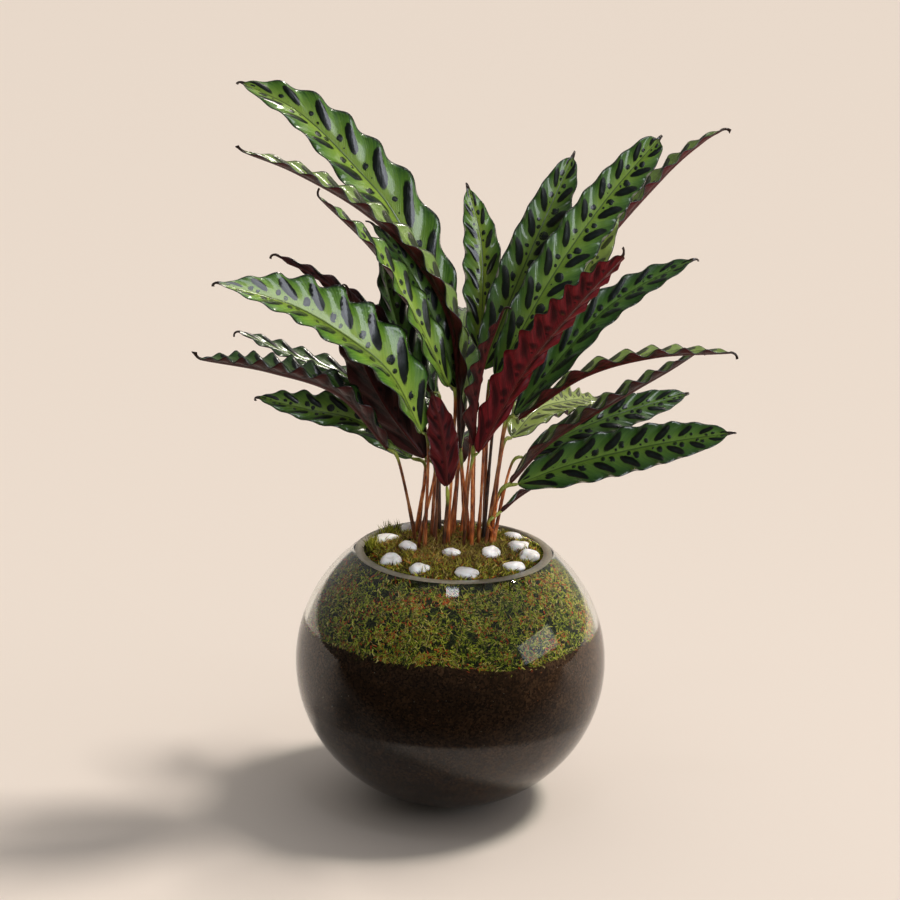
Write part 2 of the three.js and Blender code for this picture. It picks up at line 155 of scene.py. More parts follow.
# Each leaf, in millimetres: where its stalk leaves the moss, the blade's full width, how many waves
# its margins have, how far its halves fold up in degrees, the way its upper face looks at the base
# and at the tip, then from 0 to 1 its age with painted shade (yellow-green to dark), its painted
# backlight (how pale light through it makes its upper face), its underside's painted light and shade
# (red where light shines through, dark brown in shade), and the points of its midrib from stalk to tip.
MILLIMETRE = 0.001
Leaf = namedtuple(
    "Leaf", "foot width waves fold face tip_face age glow red midrib tip_fullness", defaults=[BLADE_FULLNESS],
)
LEAVES = [
    # Left side, from the top
    Leaf((0, 24), 54, 8, 28, (0.35, -0.8, 0.5), (0.35, -0.75, 0.6), 0.3, 0, 0.2,
         [(-5, 22, 367), (-49, 32, 461), (-86, 40, 505), (-130, 46, 545), (-174, 50, 566)]),
    Leaf((12, 5), 34, 11, 32, (0.6, -0.05, 0.8), (0.6, -0.05, 0.8), 0.4, 0.35, 0.25,
         [(3, -5, 292), (-6, -5, 385), (-34, -6, 440), (-77, -10, 480), (-128, -18, 510), (-167, -25, 526)]),
    Leaf((-5, -2), 36, 7, 20, (0.6, -0.7, 0.4), (0.8, 0.2, 0.6), 0.1, 0.1, 0.3,
         [(-8, -16, 345), (-34, -30, 402), (-66, -42, 455), (-109, -50, 498)]),
    Leaf((-3, 12), 34, 6, 14, (0.3, -0.9, 0.3), (0.6, -0.5, 0.6), 0.9, 0, 0.1,
         [(1, 5, 335), (-17, 3, 385), (-40, 0, 432), (-69, 0, 467)]),
    Leaf((-18, 20), 32, 5, 14, (0.5, -0.8, 0.3), (0.5, -0.6, 0.6), 1.0, 0, 0.1,
         [(-22, 28, 323), (-42, 31, 361), (-55, 32, 399), (-64, 30, 437)]),
    Leaf((-15, 5), 18, 7, 25, (0.3, 0.8, 0.6), (0.3, 0.8, 0.6), 0.8, 0, 0.1,
         [(-22, 8, 333), (-62, 2, 389), (-95, -3, 415), (-119, -5, 430), (-143, -8, 443)]),
    Leaf((-23, -8), 60, 8, 30, (0.55, -0.6, 0.55), (0.65, -0.5, 0.6), 0.1, 0, 0.2,
         [(-28, -25, 310), (-52, -45, 361), (-83, -58, 391), (-126, -70, 419), (-180, -85, 438)], 0.9),
    Leaf((-27, -2), 44, 6, 10, (0.3, 0.9, 0.2), (0.4, 0.7, 0.5), 0.9, 0, 0.1,
         [(-25, -14, 286), (-58, -14, 330), (-79, -16, 375), (-88, -20, 421)]),
    Leaf((-28, 24), 26, 7, 16, (0.5, -0.21, 0.84), (0.3, -0.25, 0.9), 0.8, 0, 0.1,
         [(-36, 22, 303), (-89, 24, 339), (-131, 20, 356), (-173, 16, 375)]),
    Leaf((-32, 6), 38, 10, 36, (0.6, 0.1, 0.8), (0.2, 0, 0.95), 0.8, 0, 0.15,
         [(-54, -26, 296), (-92, -36, 341), (-144, -40, 359), (-198, -40, 367)]),
    Leaf((-30, 26), 33, 6, 25, (0.23, -0.73, 0.64), (0.15, -0.7, 0.7), 0.6, 0, 0.1,
         [(-36, 10, 278), (-79, 14, 306), (-120, 16, 314), (-157, 16, 322)]),
    Leaf((-8, -8), 24, 4, 12, (-0.2, 0.95, 0.1), (-0.2, 0.9, 0.3), 0.7, 0, 0.5,
         [(-7, -17, 264), (-9, -24, 291), (-13, -29, 317), (-20, -32, 342)]),
    # Middle
    Leaf((6, 26), 31, 6, 12, (-0.2, -0.95, 0.2), (0, -0.9, 0.4), 0.1, 0, 0.1,
         [(16, 34, 362), (17, 45, 408), (14, 55, 448), (3, 60, 486)]),
    Leaf((14, -4), 26, 6, 24, (-0.9, 0.3, 0.3), (-0.9, 0.3, 0.3), 0.7, 0, 0.3,
         [(13, -22, 300), (14, -34, 338), (20, -45, 378), (32, -53, 416)]),
    # Right side, from the top
    Leaf((15, 16), 39, 7, 12, (0.2, -0.95, 0.1), (0.1, -0.9, 0.3), 0.65, 0, 0.2,
         [(19, 14, 352), (43, 22, 419), (63, 30, 469), (83, 36, 518)], 0.45),
    Leaf((20, 8), 38, 9, 12, (0, -0.98, 0.1), (0, -0.9, 0.3), 0.6, 0, 0.2,
         [(29, -5, 350), (67, 0, 426), (107, 5, 489), (147, 5, 540)], 0.3),
    Leaf((24, 28), 36, 7, 12, (-0.4, -0.8, 0.4), (-0.2, -0.8, 0.5), 0.4, 0.6, 0.3,
         [(33, 24, 334), (75, 30, 391), (102, 34, 439), (120, 36, 479)]),
    Leaf((24, 18), 30, 11, 34, (-0.7, -0.1, 0.7), (-0.7, -0.1, 0.7), 0.6, 0.25, 0.6,
         [(38, 40, 333), (102, 58, 432), (157, 68, 499), (187, 72, 527), (202, 76, 536)]),
    Leaf((8, -6), 38, 10, 25, (-0.3, 0.72, 0.62), (-0.3, 0.72, 0.62), 0.5, 0, 0.75,
         [(17, -22, 294), (50, -45, 369), (86, -78, 428), (117, -105, 472)], 0.45),
    Leaf((30, 12), 31, 7, 14, (-0.55, -0.72, 0.43), (-0.4, -0.7, 0.6), 0.95, 0, 0.2,
         [(45, 5, 318), (101, 2, 394), (136, -2, 425), (176, -8, 449)]),
    Leaf((26, 0), 30, 8, 26, (-0.6, 0.2, 0.8), (-0.1, 0.1, 0.9), 0.6, 0.4, 0.3,
         [(48, -14, 320), (96, -33, 361), (148, -48, 382), (205, -60, 390)]),
    Leaf((30, 4), 34, 8, 24, (-0.57, 0.14, 0.8), (-0.57, 0.14, 0.8), 0.8, 0.15, 0.15,
         [(43, -15, 268), (72, -20, 303), (124, -28, 342), (162, -33, 368), (182, -35, 383)]),
    Leaf((30, 22), 38, 9, 12, (-0.2, -0.6, 0.8), (0, -0.5, 0.9), 0.3, 0.8, 0.2,
         [(44, 22, 294), (64, 48, 310), (90, 78, 310), (114, 106, 305)]),
    Leaf((33, 12), 28, 6, 12, (0, -0.95, 0.3), (0, -0.95, 0.3), 0.85, 0, 0.1,
         [(56, 16, 280), (95, 20, 302), (137, 24, 319), (180, 28, 332)], 0.5),
    Leaf((27, 32), 37, 8, 12, (-0.2, -0.9, 0.2), (-0.1, -0.85, 0.4), 0.85, 0, 0.1,
         [(50, 10, 259), (84, 0, 277), (119, -12, 292), (164, -30, 309), (208, -45, 322)], 0.5),
    Leaf((32, 6), 12, 3, 20, (-0.4, 0.5, 0.75), (-0.4, 0.4, 0.8), 0.8, 0, 0.1,
         [(37, 0, 239), (48, 6, 248), (60, 14, 254), (72, 20, 259)]),
    # Back
    Leaf((0, 36), 34, 5, 12, (0, 0.3, 0.95), (0, 0.9, 0.4), 0.7, 0, 0.2,
         [(2, 52, 282), (0, 84, 278), (-3, 112, 256), (-6, 130, 224)]),
    Leaf((-12, 34), 36, 6, 12, (0.3, -0.8, 0.5), (0.2, -0.6, 0.8), 0.6, 0, 0.3,
         [(-21, 56, 308), (-39, 90, 341), (-54, 124, 360), (-66, 158, 368)]),
    Leaf((8, 38), 38, 6, 12, (0, -0.9, 0.4), (0, -0.6, 0.8), 0.7, 0, 0.3,
         [(0, 62, 317), (2, 98, 349), (3, 134, 363), (5, 172, 362)]),
    Leaf((20, 36), 36, 6, 12, (-0.3, -0.8, 0.5), (-0.2, -0.5, 0.8), 0.5, 0, 0.4,
         [(32, 62, 306), (56, 96, 336), (82, 128, 352), (112, 160, 355)]),
]

# Marks on a blade: where a wave's span starts, the mark's centre and radii, in waves along and from
# 0 at the midrib to 1 across, its smallest and largest size, and the channel of chance that draws it
Mark = namedtuple("Mark", "start centre radii smallest largest draw")
OVAL = Mark(-0.5, (0, 0.5), (0.24, 0.35), 0.86, 1.1, "Red")
DOT = Mark(0, (0.5, 0.26), (0.15, 0.19), 0.35, 1.15, "Green")
SPECK = Mark(0, (0.22, 0.14), (0.1, 0.12), 0.02, 1.0, "Blue")
MARK_WANDER = 0.2
DRIED = "#2B1A10"

# Pebbles on the moss: centre, then length, width and height, and the turn in degrees
Pebble = namedtuple("Pebble", "at size turn")
PEBBLES = [
    Pebble((-0.054, 0.021), (0.019, 0.013, 0.009), 20),
    Pebble((-0.036, -0.009), (0.015, 0.012, 0.009), -30),
    Pebble((-0.049, -0.032), (0.017, 0.013, 0.011), 10),
    Pebble((-0.026, -0.05), (0.016, 0.012, 0.009), 5),
    Pebble((-0.002, -0.022), (0.014, 0.01, 0.007), 0),
    Pebble((0.011, -0.056), (0.018, 0.012, 0.009), -8),
    Pebble((0.029, -0.017), (0.015, 0.012, 0.01), 35),
    Pebble((0.048, -0.036), (0.017, 0.011, 0.008), 0),
    Pebble((0.06, -0.009), (0.016, 0.014, 0.011), 25),
    Pebble((0.052, 0.009), (0.016, 0.013, 0.009), 15),
    Pebble((0.047, 0.036), (0.015, 0.011, 0.009), -20),
    Pebble((0.03, 0.054), (0.012, 0.009, 0.007), 40),
    Pebble((-0.038, 0.05), (0.015, 0.012, 0.01), 60),
]

# Height of a pebble's middle over the moss, as a share of its own height, its size before it is
# dented, and the depth and scale of its broad and small dents
PEBBLE_RISE = 0.2
PEBBLE_BULK = 1.04
PEBBLE_DENTS = [(0.24, 1.1), (0.05, 2.6)]

# Names of the maps that patterns follow
BLADE_MAP = "blade"
STALK_MAP = "stalk"

# The group that the front softbox lights, and the slots that stay out of it
SOFTBOX_GROUP = "lit by the front softbox"
UNLIT_SLOTS = ("clear_glass", "potting_soil")

# Rows and columns of a blade's grid, and rows of the dried tail at its tip
ROWS_PER_WAVE = 12
TAIL_ROWS = 8
COLUMNS = 20

# Camera, fitted to the photograph
CAMERA_PLACE = (-0.0053, -2.038, 0.903)
CAMERA_DOWN = math.radians(16.78)
CAMERA_ROLL = math.radians(1.71)
CAMERA_LENS = 107.7

# Lights: the way to the key light and how wide it is, and panels, each with its power in watts
KEY_WAY = Vector((0.45, 0.22, 0.86))
KEY_WIDTH = math.radians(12)
Panel = namedtuple("Panel", "name place aim width height power colour")
SMALL_SOFTBOX = Panel("small softbox", (0, -0.44, 1.87), (0, -0.08, 0.2), 0.25, 0.18, 0.7, "#F2F5FF")
RIGHT_SOFTBOX = Panel("right softbox", (1.25, -0.4, 0.6), (0.07, -0.09, 0.3), 0.8, 0.35, 0.9, "#EEF3FF")
FRONT_SOFTBOX = Panel("front softbox", (0.7, -1.25, 0.75), (0, 0, 0.4), 1.0, 0.9, 13, "#F1F5FF")

FLOOR_HALF_WIDTH = 12

# Sockets of the colour mixing node
FACTOR, FIRST, SECOND = 0, 6, 7

# Kinds of node
MATH = "ShaderNodeMath"
VECTOR_MATH = "ShaderNodeVectorMath"
MIX = "ShaderNodeMix"
MIX_SHADER = "ShaderNodeMixShader"
RAMP = "ShaderNodeValToRGB"
NOISE = "ShaderNodeTexNoise"
RANGE = "ShaderNodeMapRange"
BUMP = "ShaderNodeBump"
COORDS = "ShaderNodeTexCoord"
UV_MAP = "ShaderNodeUVMap"
ATTRIBUTE = "ShaderNodeAttribute"
LIGHT_PATH = "ShaderNodeLightPath"
AXES = "ShaderNodeSeparateXYZ"
COMBINE = "ShaderNodeCombineXYZ"
SEPARATE_COLOUR = "ShaderNodeSeparateColor"
PRINCIPLED = "ShaderNodeBsdfPrincipled"


def linear(colour):
    """A #RRGGBB colour as linear red, green, blue and alpha."""
    channels = [int(colour[start:start + 2], 16) / 255 for start in (1, 3, 5)]
    return (*[c / 12.92 if c <= 0.04045 else ((c + 0.055) / 1.055) ** 2.4 for c in channels], 1.0)


def lerp(first, second, share):
    return first + (second - first) * share


# Curves and outlines

class Path:
    """A smooth curve through points, read by its share of the length."""

    STEPS = 24

    def __init__(self, points):
        knots = [Vector(point) for point in points]
        before = 2 * knots[0] - knots[1]
        after = 2 * knots[-1] - knots[-2]
        padded = [before, *knots, after]
        self.points = [knots[0]]
        for index in range(1, len(knots)):
            start, end = padded[index], padded[index + 1]
            leave = start + (end - padded[index - 1]) / 6
            reach = end - (padded[index + 2] - start) / 6
            self.points += interpolate_bezier(start, leave, reach, end, self.STEPS + 1)[1:]
        self.lengths = [0.0]
        for first, second in zip(self.points, self.points[1:]):
            self.lengths.append(self.lengths[-1] + (second - first).length)
        last = len(self.points) - 1
        self.ways = [
            (self.points[min(i + 1, last)] - self.points[max(i - 1, 0)]).normalized() for i in range(last + 1)
        ]

    @property
    def length(self):
        return self.lengths[-1]

    def at(self, share):
        """The point and the direction at a share of the length."""
        reach = max(0.0, min(share, 1.0)) * self.length
        index = max(1, min(bisect.bisect_left(self.lengths, reach), len(self.points) - 1))
        low, high = self.lengths[index - 1], self.lengths[index]
        part = (reach - low) / (high - low)
        point = self.points[index - 1].lerp(self.points[index], part)
        return point, self.ways[index - 1].lerp(self.ways[index], part).normalized()


def polar(angle, radius, z):
    """The point at an angle round the Z axis, a radius from it and a height."""
    return Vector((radius * math.cos(angle), radius * math.sin(angle), z))


def spheroid_radius(z, inset):
    """Radius of the bowl at a height, that far inside its outer face."""
    height = (z - BOWL_CENTRE_Z) / (BOWL_HALF_HEIGHT - inset)
    return (BOWL_RADIUS - inset) * math.sqrt(max(0.0, 1 - height * height))


def glass_arc(inset, low, high, steps):
    """(radius, z) points of the bowl's curve between two heights, that far inside its outer face."""
    half = BOWL_HALF_HEIGHT - inset
    start = math.asin((low - BOWL_CENTRE_Z) / half)
    end = math.asin((high - BOWL_CENTRE_Z) / half)
    turns = [lerp(start, end, step / steps) for step in range(steps + 1)]
    return [((BOWL_RADIUS - inset) * math.cos(t), BOWL_CENTRE_Z + half * math.sin(t)) for t in turns]


def soil_line_wave(angle):
    return SOIL_TOP_WAVE * (0.6 * math.sin(3 * angle + 1) + 0.4 * math.sin(7 * angle))


def moss_top_z(radius):
    return MOSS_TOP_Z + MOSS_MOUND * (1 - (radius / MOSS_TOP_RADIUS) ** 2)


def leaf_path(leaf):
    return Path([MILLIMETRE * Vector(point) for point in leaf.midrib])


def blade_outline(place, tip_fullness):
    """Share of the full width, from 0 at the stalk to 1 at the tip."""
    skewed = place ** BLADE_SKEW
    return (4 * skewed * (1 - skewed)) ** lerp(BLADE_FULLNESS, tip_fullness, place)


def wave_place(share):
    """Place along the blade by the share of its waves, which grow shorter towards the tip."""
    first = 1 - WAVE_SHORTENING
    return (math.sqrt(first ** 2 + 4 * WAVE_SHORTENING * share) - first) / (2 * WAVE_SHORTENING)


# Meshes

def lathe(bm, profile, steps):
    """Spins a profile of (radius, z) points round the Z axis into a closed skin."""
    corners = [bm.verts.new((radius, 0, z)) for radius, z in profile]
    edges = [bm.edges.new(pair) for pair in zip(corners, corners[1:])]
    bmesh.ops.spin(
        bm, geom=corners + edges, cent=(0, 0, 0), axis=(0, 0, 1), angle=2 * math.pi, steps=steps,
        use_merge=True, use_normal_flip=False, use_duplicate=False,
    )
    bmesh.ops.remove_doubles(bm, verts=bm.verts, dist=1e-6)
    bmesh.ops.recalc_face_normals(bm, faces=bm.faces)


def softbox_group():
    """The pieces that the front softbox lights: neither the glass, which would mirror it, nor the soil."""
    return bpy.data.collections.get(SOFTBOX_GROUP) or bpy.data.collections.new(SOFTBOX_GROUP)


def mesh_of(bm, name):
    """A mesh made of a bmesh, which is freed."""
    mesh = bpy.data.meshes.new(name)
    bm.to_mesh(mesh)
    bm.free()
    return mesh


def add_object(name, data):
    thing = bpy.data.objects.new(name, data)
    bpy.context.scene.collection.objects.link(thing)
    return thing


def add_piece(name, bm, materials, slot, nodes=(), smooth=True):
    """Makes an object of a bmesh that rides on the frame and stands for its nodes."""
    for face in bm.faces:
        face.smooth = smooth
    mesh = mesh_of(bm, name)
    for material in materials:
        mesh.materials.append(material)
    piece = add_object(name, mesh)
    if slot not in UNLIT_SLOTS:
        softbox_group().objects.link(piece)
    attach(piece, "root")
    if nodes:
        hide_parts(*nodes)
    return piece


def join(bm, part):
    """Adds one bmesh to another, and frees it."""
    mesh = mesh_of(part, "part")
    bm.from_mesh(mesh)
    bpy.data.meshes.remove(mesh)


def set_map(bm, layer, spots):
    """Gives every corner of a face its vertex's spot on a map."""
    for face in bm.faces:
        for loop in face.loops:
            loop[layer].uv = spots[loop.vert]


def root_place(z):
    """A matrix that puts a round thing on the rootstock's axis, and makes it as oval as the rootstock."""
    return Matrix.Translation((*ROOT_CENTRE, z)) @ Matrix.Diagonal((1, ROOT_DEPTH_SCALE, 1, 1))


def root_hole():
    """The oval hole that the rootstock stands in, as an object that cuts."""
    bm = bmesh.new()
    radius = ROOT_RADIUS + 2 * GAP
    bmesh.ops.create_cone(
        bm, segments=ROOT_SIDES, radius1=radius, radius2=radius, depth=ROOT_HOLE_DEPTH + GAP, cap_ends=True,
        matrix=root_place(ROOT_LOW_Z + ROOT_HOLE_DEPTH / 2),
    )
    return add_object("root_hole", mesh_of(bm, "root hole"))


def cut_root_hole(bm):
    """Cuts the rootstock's hole through a closed bmesh."""
    mesh = bpy.data.meshes.new("whole")
    bm.to_mesh(mesh)
    bm.clear()
    whole = add_object("whole", mesh)
    hole = root_hole()
    cut = whole.modifiers.new("hole", "BOOLEAN")
    cut.operation = "DIFFERENCE"
    cut.solver = "EXACT"
    cut.object = hole
    result = bpy.data.meshes.new_from_object(whole.evaluated_get(bpy.context.evaluated_depsgraph_get()))
    bm.from_mesh(result)
    # Removing the mesh of an object removes the object too
    for thing in (whole, hole):
        bpy.data.meshes.remove(thing.data)
    bpy.data.meshes.remove(result)


# Materials

def add_node(tree, kind, inputs=(), stops=(), **settings):
    """Adds a node. Its inputs, in order or by name, take values, #RRGGBB colours, sockets or nodes."""
    node = tree.nodes.new(kind)
    for name, value in settings.items():
        setattr(node, name, value)
    named = inputs if isinstance(inputs, dict) else dict(enumerate(inputs))
    for key, value in named.items():
        if isinstance(value, bpy.types.Node):
            value = next(socket for socket in value.outputs if socket.enabled)
        if isinstance(value, bpy.types.NodeSocket):
            tree.links.new(value, node.inputs[key])
        else:
            node.inputs[key].default_value = linear(value) if isinstance(value, str) else value
    for index, (position, colour) in enumerate(stops):
        elements = node.color_ramp.elements
        stop = elements[index] if index < len(elements) else elements.new(position)
        stop.position = position
        stop.color = linear(colour)
    return node


def make_material(name, build, *details):
    """A material whose surface a build function makes, which is given the function that adds nodes."""
    material = bpy.data.materials.new(name)
    material.use_nodes = True
    material.node_tree.nodes.clear()
    add = partial(add_node, material.node_tree)
    add("ShaderNodeOutputMaterial", [build(add, *details)])
    return material


def glass_surface(add, tint, ior):
    """Blown soda-lime glass, fire-polished: clear face on, and a mirror at its edges.

    Where damp soil lies against its inner face, light passes straight on to it (IOR 1).
    """
    glass = add(PRINCIPLED, {"Base Color": tint, "Roughness": 0.0, "IOR": ior, "Transmission Weight": 1.0})
    open_to_lamps = add("ShaderNodeBsdfTransparent", [tint])
    shadow_ray = add(LIGHT_PATH).outputs["Is Shadow Ray"]
    return add(MIX_SHADER, (shadow_ray, glass, open_to_lamps))


def rim_surface(add):
    """The rim's cut face: ground, then barely polished, so it catches light as a pale grey ring.

    Its grain is drawn coarser than the real one, so that it shows.
    """
    place = add(COORDS).outputs["Object"]
    grain = add(NOISE, {"Vector": place, "Scale": 500.0, "Detail": 4.0})
    # Its pale grey is partly the ground glass's own and partly painted reflection of the light round it
    colour = add(RAMP, [grain], [(0.3, "#C6BCA6"), (0.7, "#E6DDCB")])
    return add(PRINCIPLED, {
        "Base Color": colour, "Roughness": 0.28, "IOR": 1.45, "Transmission Weight": 0.5,
    })


def ground_surface(add, stops, grain, roughness, bump):
    """Loose matter in the bowl: a colour for each grain, and a rough face that takes no highlight."""
    place = add(COORDS).outputs["Object"]
    grains = add("ShaderNodeTexVoronoi", {"Vector": place, "Scale": 1 / grain})
    split = add(SEPARATE_COLOUR, [grains.outputs["Color"]])
    cloud = add(NOISE, {"Vector": place, "Scale": 1 / (12 * grain), "Detail": 4.0})
    shade = add(MATH, (split, cloud), operation="MULTIPLY")
    colour = add(RAMP, [shade], stops)
    fine = add(NOISE, {"Vector": place, "Scale": 2 / grain, "Detail": 6.0})
    height = add(MATH, (fine, grains.outputs["Distance"]), operation="SUBTRACT")
    relief = add(BUMP, {"Height": height, "Strength": bump, "Distance": grain / 3})
    return add(PRINCIPLED, {
        "Base Color": colour, "Roughness": roughness, "Specular IOR Level": 0.1, "Normal": relief,
    })


def plain_surface(add, colour, roughness):
    """One colour all over, for pieces too small or too hidden to show a pattern."""
    return add(PRINCIPLED, {"Base Color": colour, "Roughness": roughness})


def moss_strand_surface(add):
    """Sheet moss: each strand its own green, with straw and rust ones, and brown between the stalks."""
    place = add(COORDS).outputs["Object"]
    tint = add(ATTRIBUTE, attribute_name="tint").outputs["Fac"]
    patches = add(NOISE, {"Vector": place, "Scale": 45.0, "Detail": 3.0})
    drift = add(RANGE, (patches, 0.35, 0.7, -0.2, 0.14))
    shade = add(MATH, (tint, drift), operation="ADD", use_clamp=True)
    strand = add(RAMP, [shade], [
        (0.0, "#141206"), (0.18, "#424A0A"), (0.38, "#8C981A"), (0.58, "#CCCA3C"), (0.68, "#EACE80"),
        (0.76, "#7A4A22"), (0.84, "#D2481A"), (1.0, "#F47C30"),
    ])
    flat = add(VECTOR_MATH, (place, (1, 1, 0)), operation="MULTIPLY")
    from_axis = add(VECTOR_MATH, [flat], operation="LENGTH")
    worn = add(RANGE, (from_axis, 0.03, 0.08, 0.65, 0.0))
    colour = add(MIX, {FACTOR: worn, FIRST: strand, SECOND: "#8C6C36"}, data_type="RGBA")
    return add(PRINCIPLED, {"Base Color": colour, "Roughness": 0.7, "Specular IOR Level": 0.3})


def pebble_surface(add):
    """Tumbled white marble: chalky white with faint grey clouds and a soft polish."""
    place = add(COORDS).outputs["Object"]
    cloud = add(NOISE, {"Vector": place, "Scale": 90.0, "Detail": 6.0, "Distortion": 0.8})
    colour = add(RAMP, [cloud], [(0.3, "#D6D0C6"), (0.45, "#F4F1EB"), (0.7, "#FFFDF9")])
    pits = add(NOISE, {"Vector": place, "Scale": 900.0, "Detail": 4.0})
    relief = add(BUMP, {"Height": pits, "Strength": 0.25, "Distance": 0.0003})
    return add(PRINCIPLED, {
        "Base Color": colour, "Roughness": 0.38, "Normal": relief, "Subsurface Weight": 0.1,
        "Subsurface Scale": 0.002,
    })


def stalk_surface(add):
    """Living leaf stalk: terracotta to dark brown with fine streaks, yellow-green under the blade."""
    to_blade = add(AXES, [add(UV_MAP, uv_map=STALK_MAP)]).outputs["X"]
    dark = add(ATTRIBUTE, attribute_name="dark").outputs["Fac"]
    place = add(COORDS).outputs["Object"]
    drawn_out = add(VECTOR_MATH, (place, (1, 1, 0.08)), operation="MULTIPLY")
    streaks = add(NOISE, {"Vector": drawn_out, "Scale": 900.0, "Detail": 5.0})
    clouds = add(NOISE, {"Vector": place, "Scale": 60.0, "Detail": 3.0})
    both = add(MATH, (streaks, clouds), operation="ADD")
    mottle = add(RANGE, (both, 0.75, 1.25))
    red = add(RAMP, [mottle], [(0.0, "#4A2816"), (0.35, "#96481F"), (0.7, "#C26A30"), (1.0, "#D8985C")])
    brown = add(RAMP, [mottle], [(0.0, "#17100C"), (0.6, "#3B271A"), (1.0, "#6B4526")])
    shaded = add(MIX, {FACTOR: dark, FIRST: red, SECOND: brown}, data_type="RGBA")
    joint = add(RANGE, (to_blade, 0.012, 0.019, 1.0, 0.0))
    green = add(RAMP, [mottle], [(0.0, "#545F1E"), (1.0, "#97A03F")])
    colour = add(MIX, {FACTOR: joint, FIRST: shaded, SECOND: green}, data_type="RGBA")
    relief = add(BUMP, {"Height": streaks, "Strength": 0.4, "Distance": 0.0002})
    return add(PRINCIPLED, {"Base Color": colour, "Roughness": 0.42, "Normal": relief})


def mark_distance(add, mark, way, across, luck):
    """Distance from the nearest mark of one kind, as a share of that mark's radius."""
    wrapped = add(MATH, (way, mark.start + 1, mark.start), operation="WRAP")
    point = add(COMBINE, (wrapped, across))
    offset = add(VECTOR_MATH, (point, (*mark.centre, 0)), operation="SUBTRACT")
    share = add(VECTOR_MATH, (offset, (*mark.radii, 1)), operation="DIVIDE")
    distance = add(VECTOR_MATH, [share], operation="LENGTH")
    size = add(RANGE, {"Value": luck.outputs[mark.draw], "To Min": mark.smallest, "To Max": mark.largest})
    return add(MATH, (distance, size), operation="DIVIDE")


def leaf_pattern(add, settings):
    """The blade's markings, from its own map: waves along, and -1 to 1 across.

    Long dark ovals lie on the crests and lean towards the tip as the veins do, and round spots lie
    between each two, near the midrib. The two halves alternate.
    """
    spot = add(UV_MAP, uv_map=BLADE_MAP)
    axes = add(AXES, [spot])
    across = add(MATH, [axes.outputs["Y"]], operation="ABSOLUTE")
    left = add(MATH, (axes.outputs["Y"], 0.0), operation="LESS_THAN")
    age = add(ATTRIBUTE, attribute_name="age").outputs["Fac"]
    lean = add(MATH, (across, -settings.vein_lean, settings.vein_lean), operation="MULTIPLY_ADD")
    half_wave = add(MATH, (left, 0.5, lean), operation="MULTIPLY_ADD")
    straight = add(MATH, (axes.outputs["X"], half_wave), operation="ADD")
    wander = add(NOISE, {"Vector": spot, "Scale": 1.6, "Detail": 2.0})
    wandered = add(MATH, (wander, MARK_WANDER, straight), operation="MULTIPLY_ADD")
    leaning = add(MATH, (wandered, MARK_WANDER / 2), operation="SUBTRACT")
    upright = add(MATH, (leaning, lean), operation="SUBTRACT")
    upright = add(MATH, (upright, 0.75 * settings.vein_lean), operation="ADD")

    cell = add(COMBINE, (add(MATH, [leaning], operation="ROUND"), left, age))
    chance = add("ShaderNodeTexWhiteNoise", {"Vector": cell}, noise_dimensions="3D")
    luck = add(SEPARATE_COLOUR, [chance.outputs["Color"]])
    oval = mark_distance(add, OVAL, leaning, across, luck)
    dot = mark_distance(add, DOT, upright, across, luck)
    speck = mark_distance(add, SPECK, upright, across, luck)
    round_marks = add(MATH, (dot, speck), operation="MINIMUM")
    nearest = add(MATH, (oval, round_marks), operation="MINIMUM")
    frayed = add(NOISE, {"Vector": spot, "Scale": 12.0, "Detail": 3.0})
    edge = add(MATH, (frayed, 0.22, nearest), operation="MULTIPLY_ADD")
    spots = add(RANGE, (edge, 1.02, 1.16, 1.0, 0.0), interpolation_type="SMOOTHSTEP")

    veins = add(MATH, (straight, 2 * math.pi * settings.veins_per_wave), operation="MULTIPLY")
    ridges = add(MATH, [veins], operation="SINE")
    run = add(MATH, (straight, 14.0), operation="MULTIPLY")
    strip = add(COMBINE, (run, axes.outputs["Y"], age))
    streaks = add(NOISE, {"Vector": strip, "Scale": 1.2, "Detail": 4.0})
    return {
        "across": across, "age": age, "spots": spots, "ridges": ridges, "edge": edge, "streaks": streaks,
    }


def leaf_relief(add, pattern, strength):
    """Raised ovals, puckers between the veins, and the beaded cells that make its shine sparkle.

    The cells are drawn coarser than real ones, so that they show.
    """
    place = add(COORDS).outputs["Object"]
    cells = add(NOISE, {"Vector": place, "Scale": 1100.0, "Detail": 2.0})
    raised = add(RANGE, (pattern["edge"], 0.45, 1.25, 2.6, 0.0), interpolation_type="SMOOTHSTEP")
    fine = add(MATH, (pattern["ridges"], 0.12, cells), operation="MULTIPLY_ADD")
    ribbed = add(MATH, (pattern["streaks"], 0.8, fine), operation="MULTIPLY_ADD")
    cushions = add(NOISE, {"Vector": place, "Scale": 75.0, "Detail": 1.0})
    puckered = add(MATH, (cushions, 7.0, ribbed), operation="MULTIPLY_ADD")
    height = add(MATH, (raised, puckered), operation="ADD")
    return add(BUMP, {"Height": height, "Strength": strength, "Distance": 0.0005})


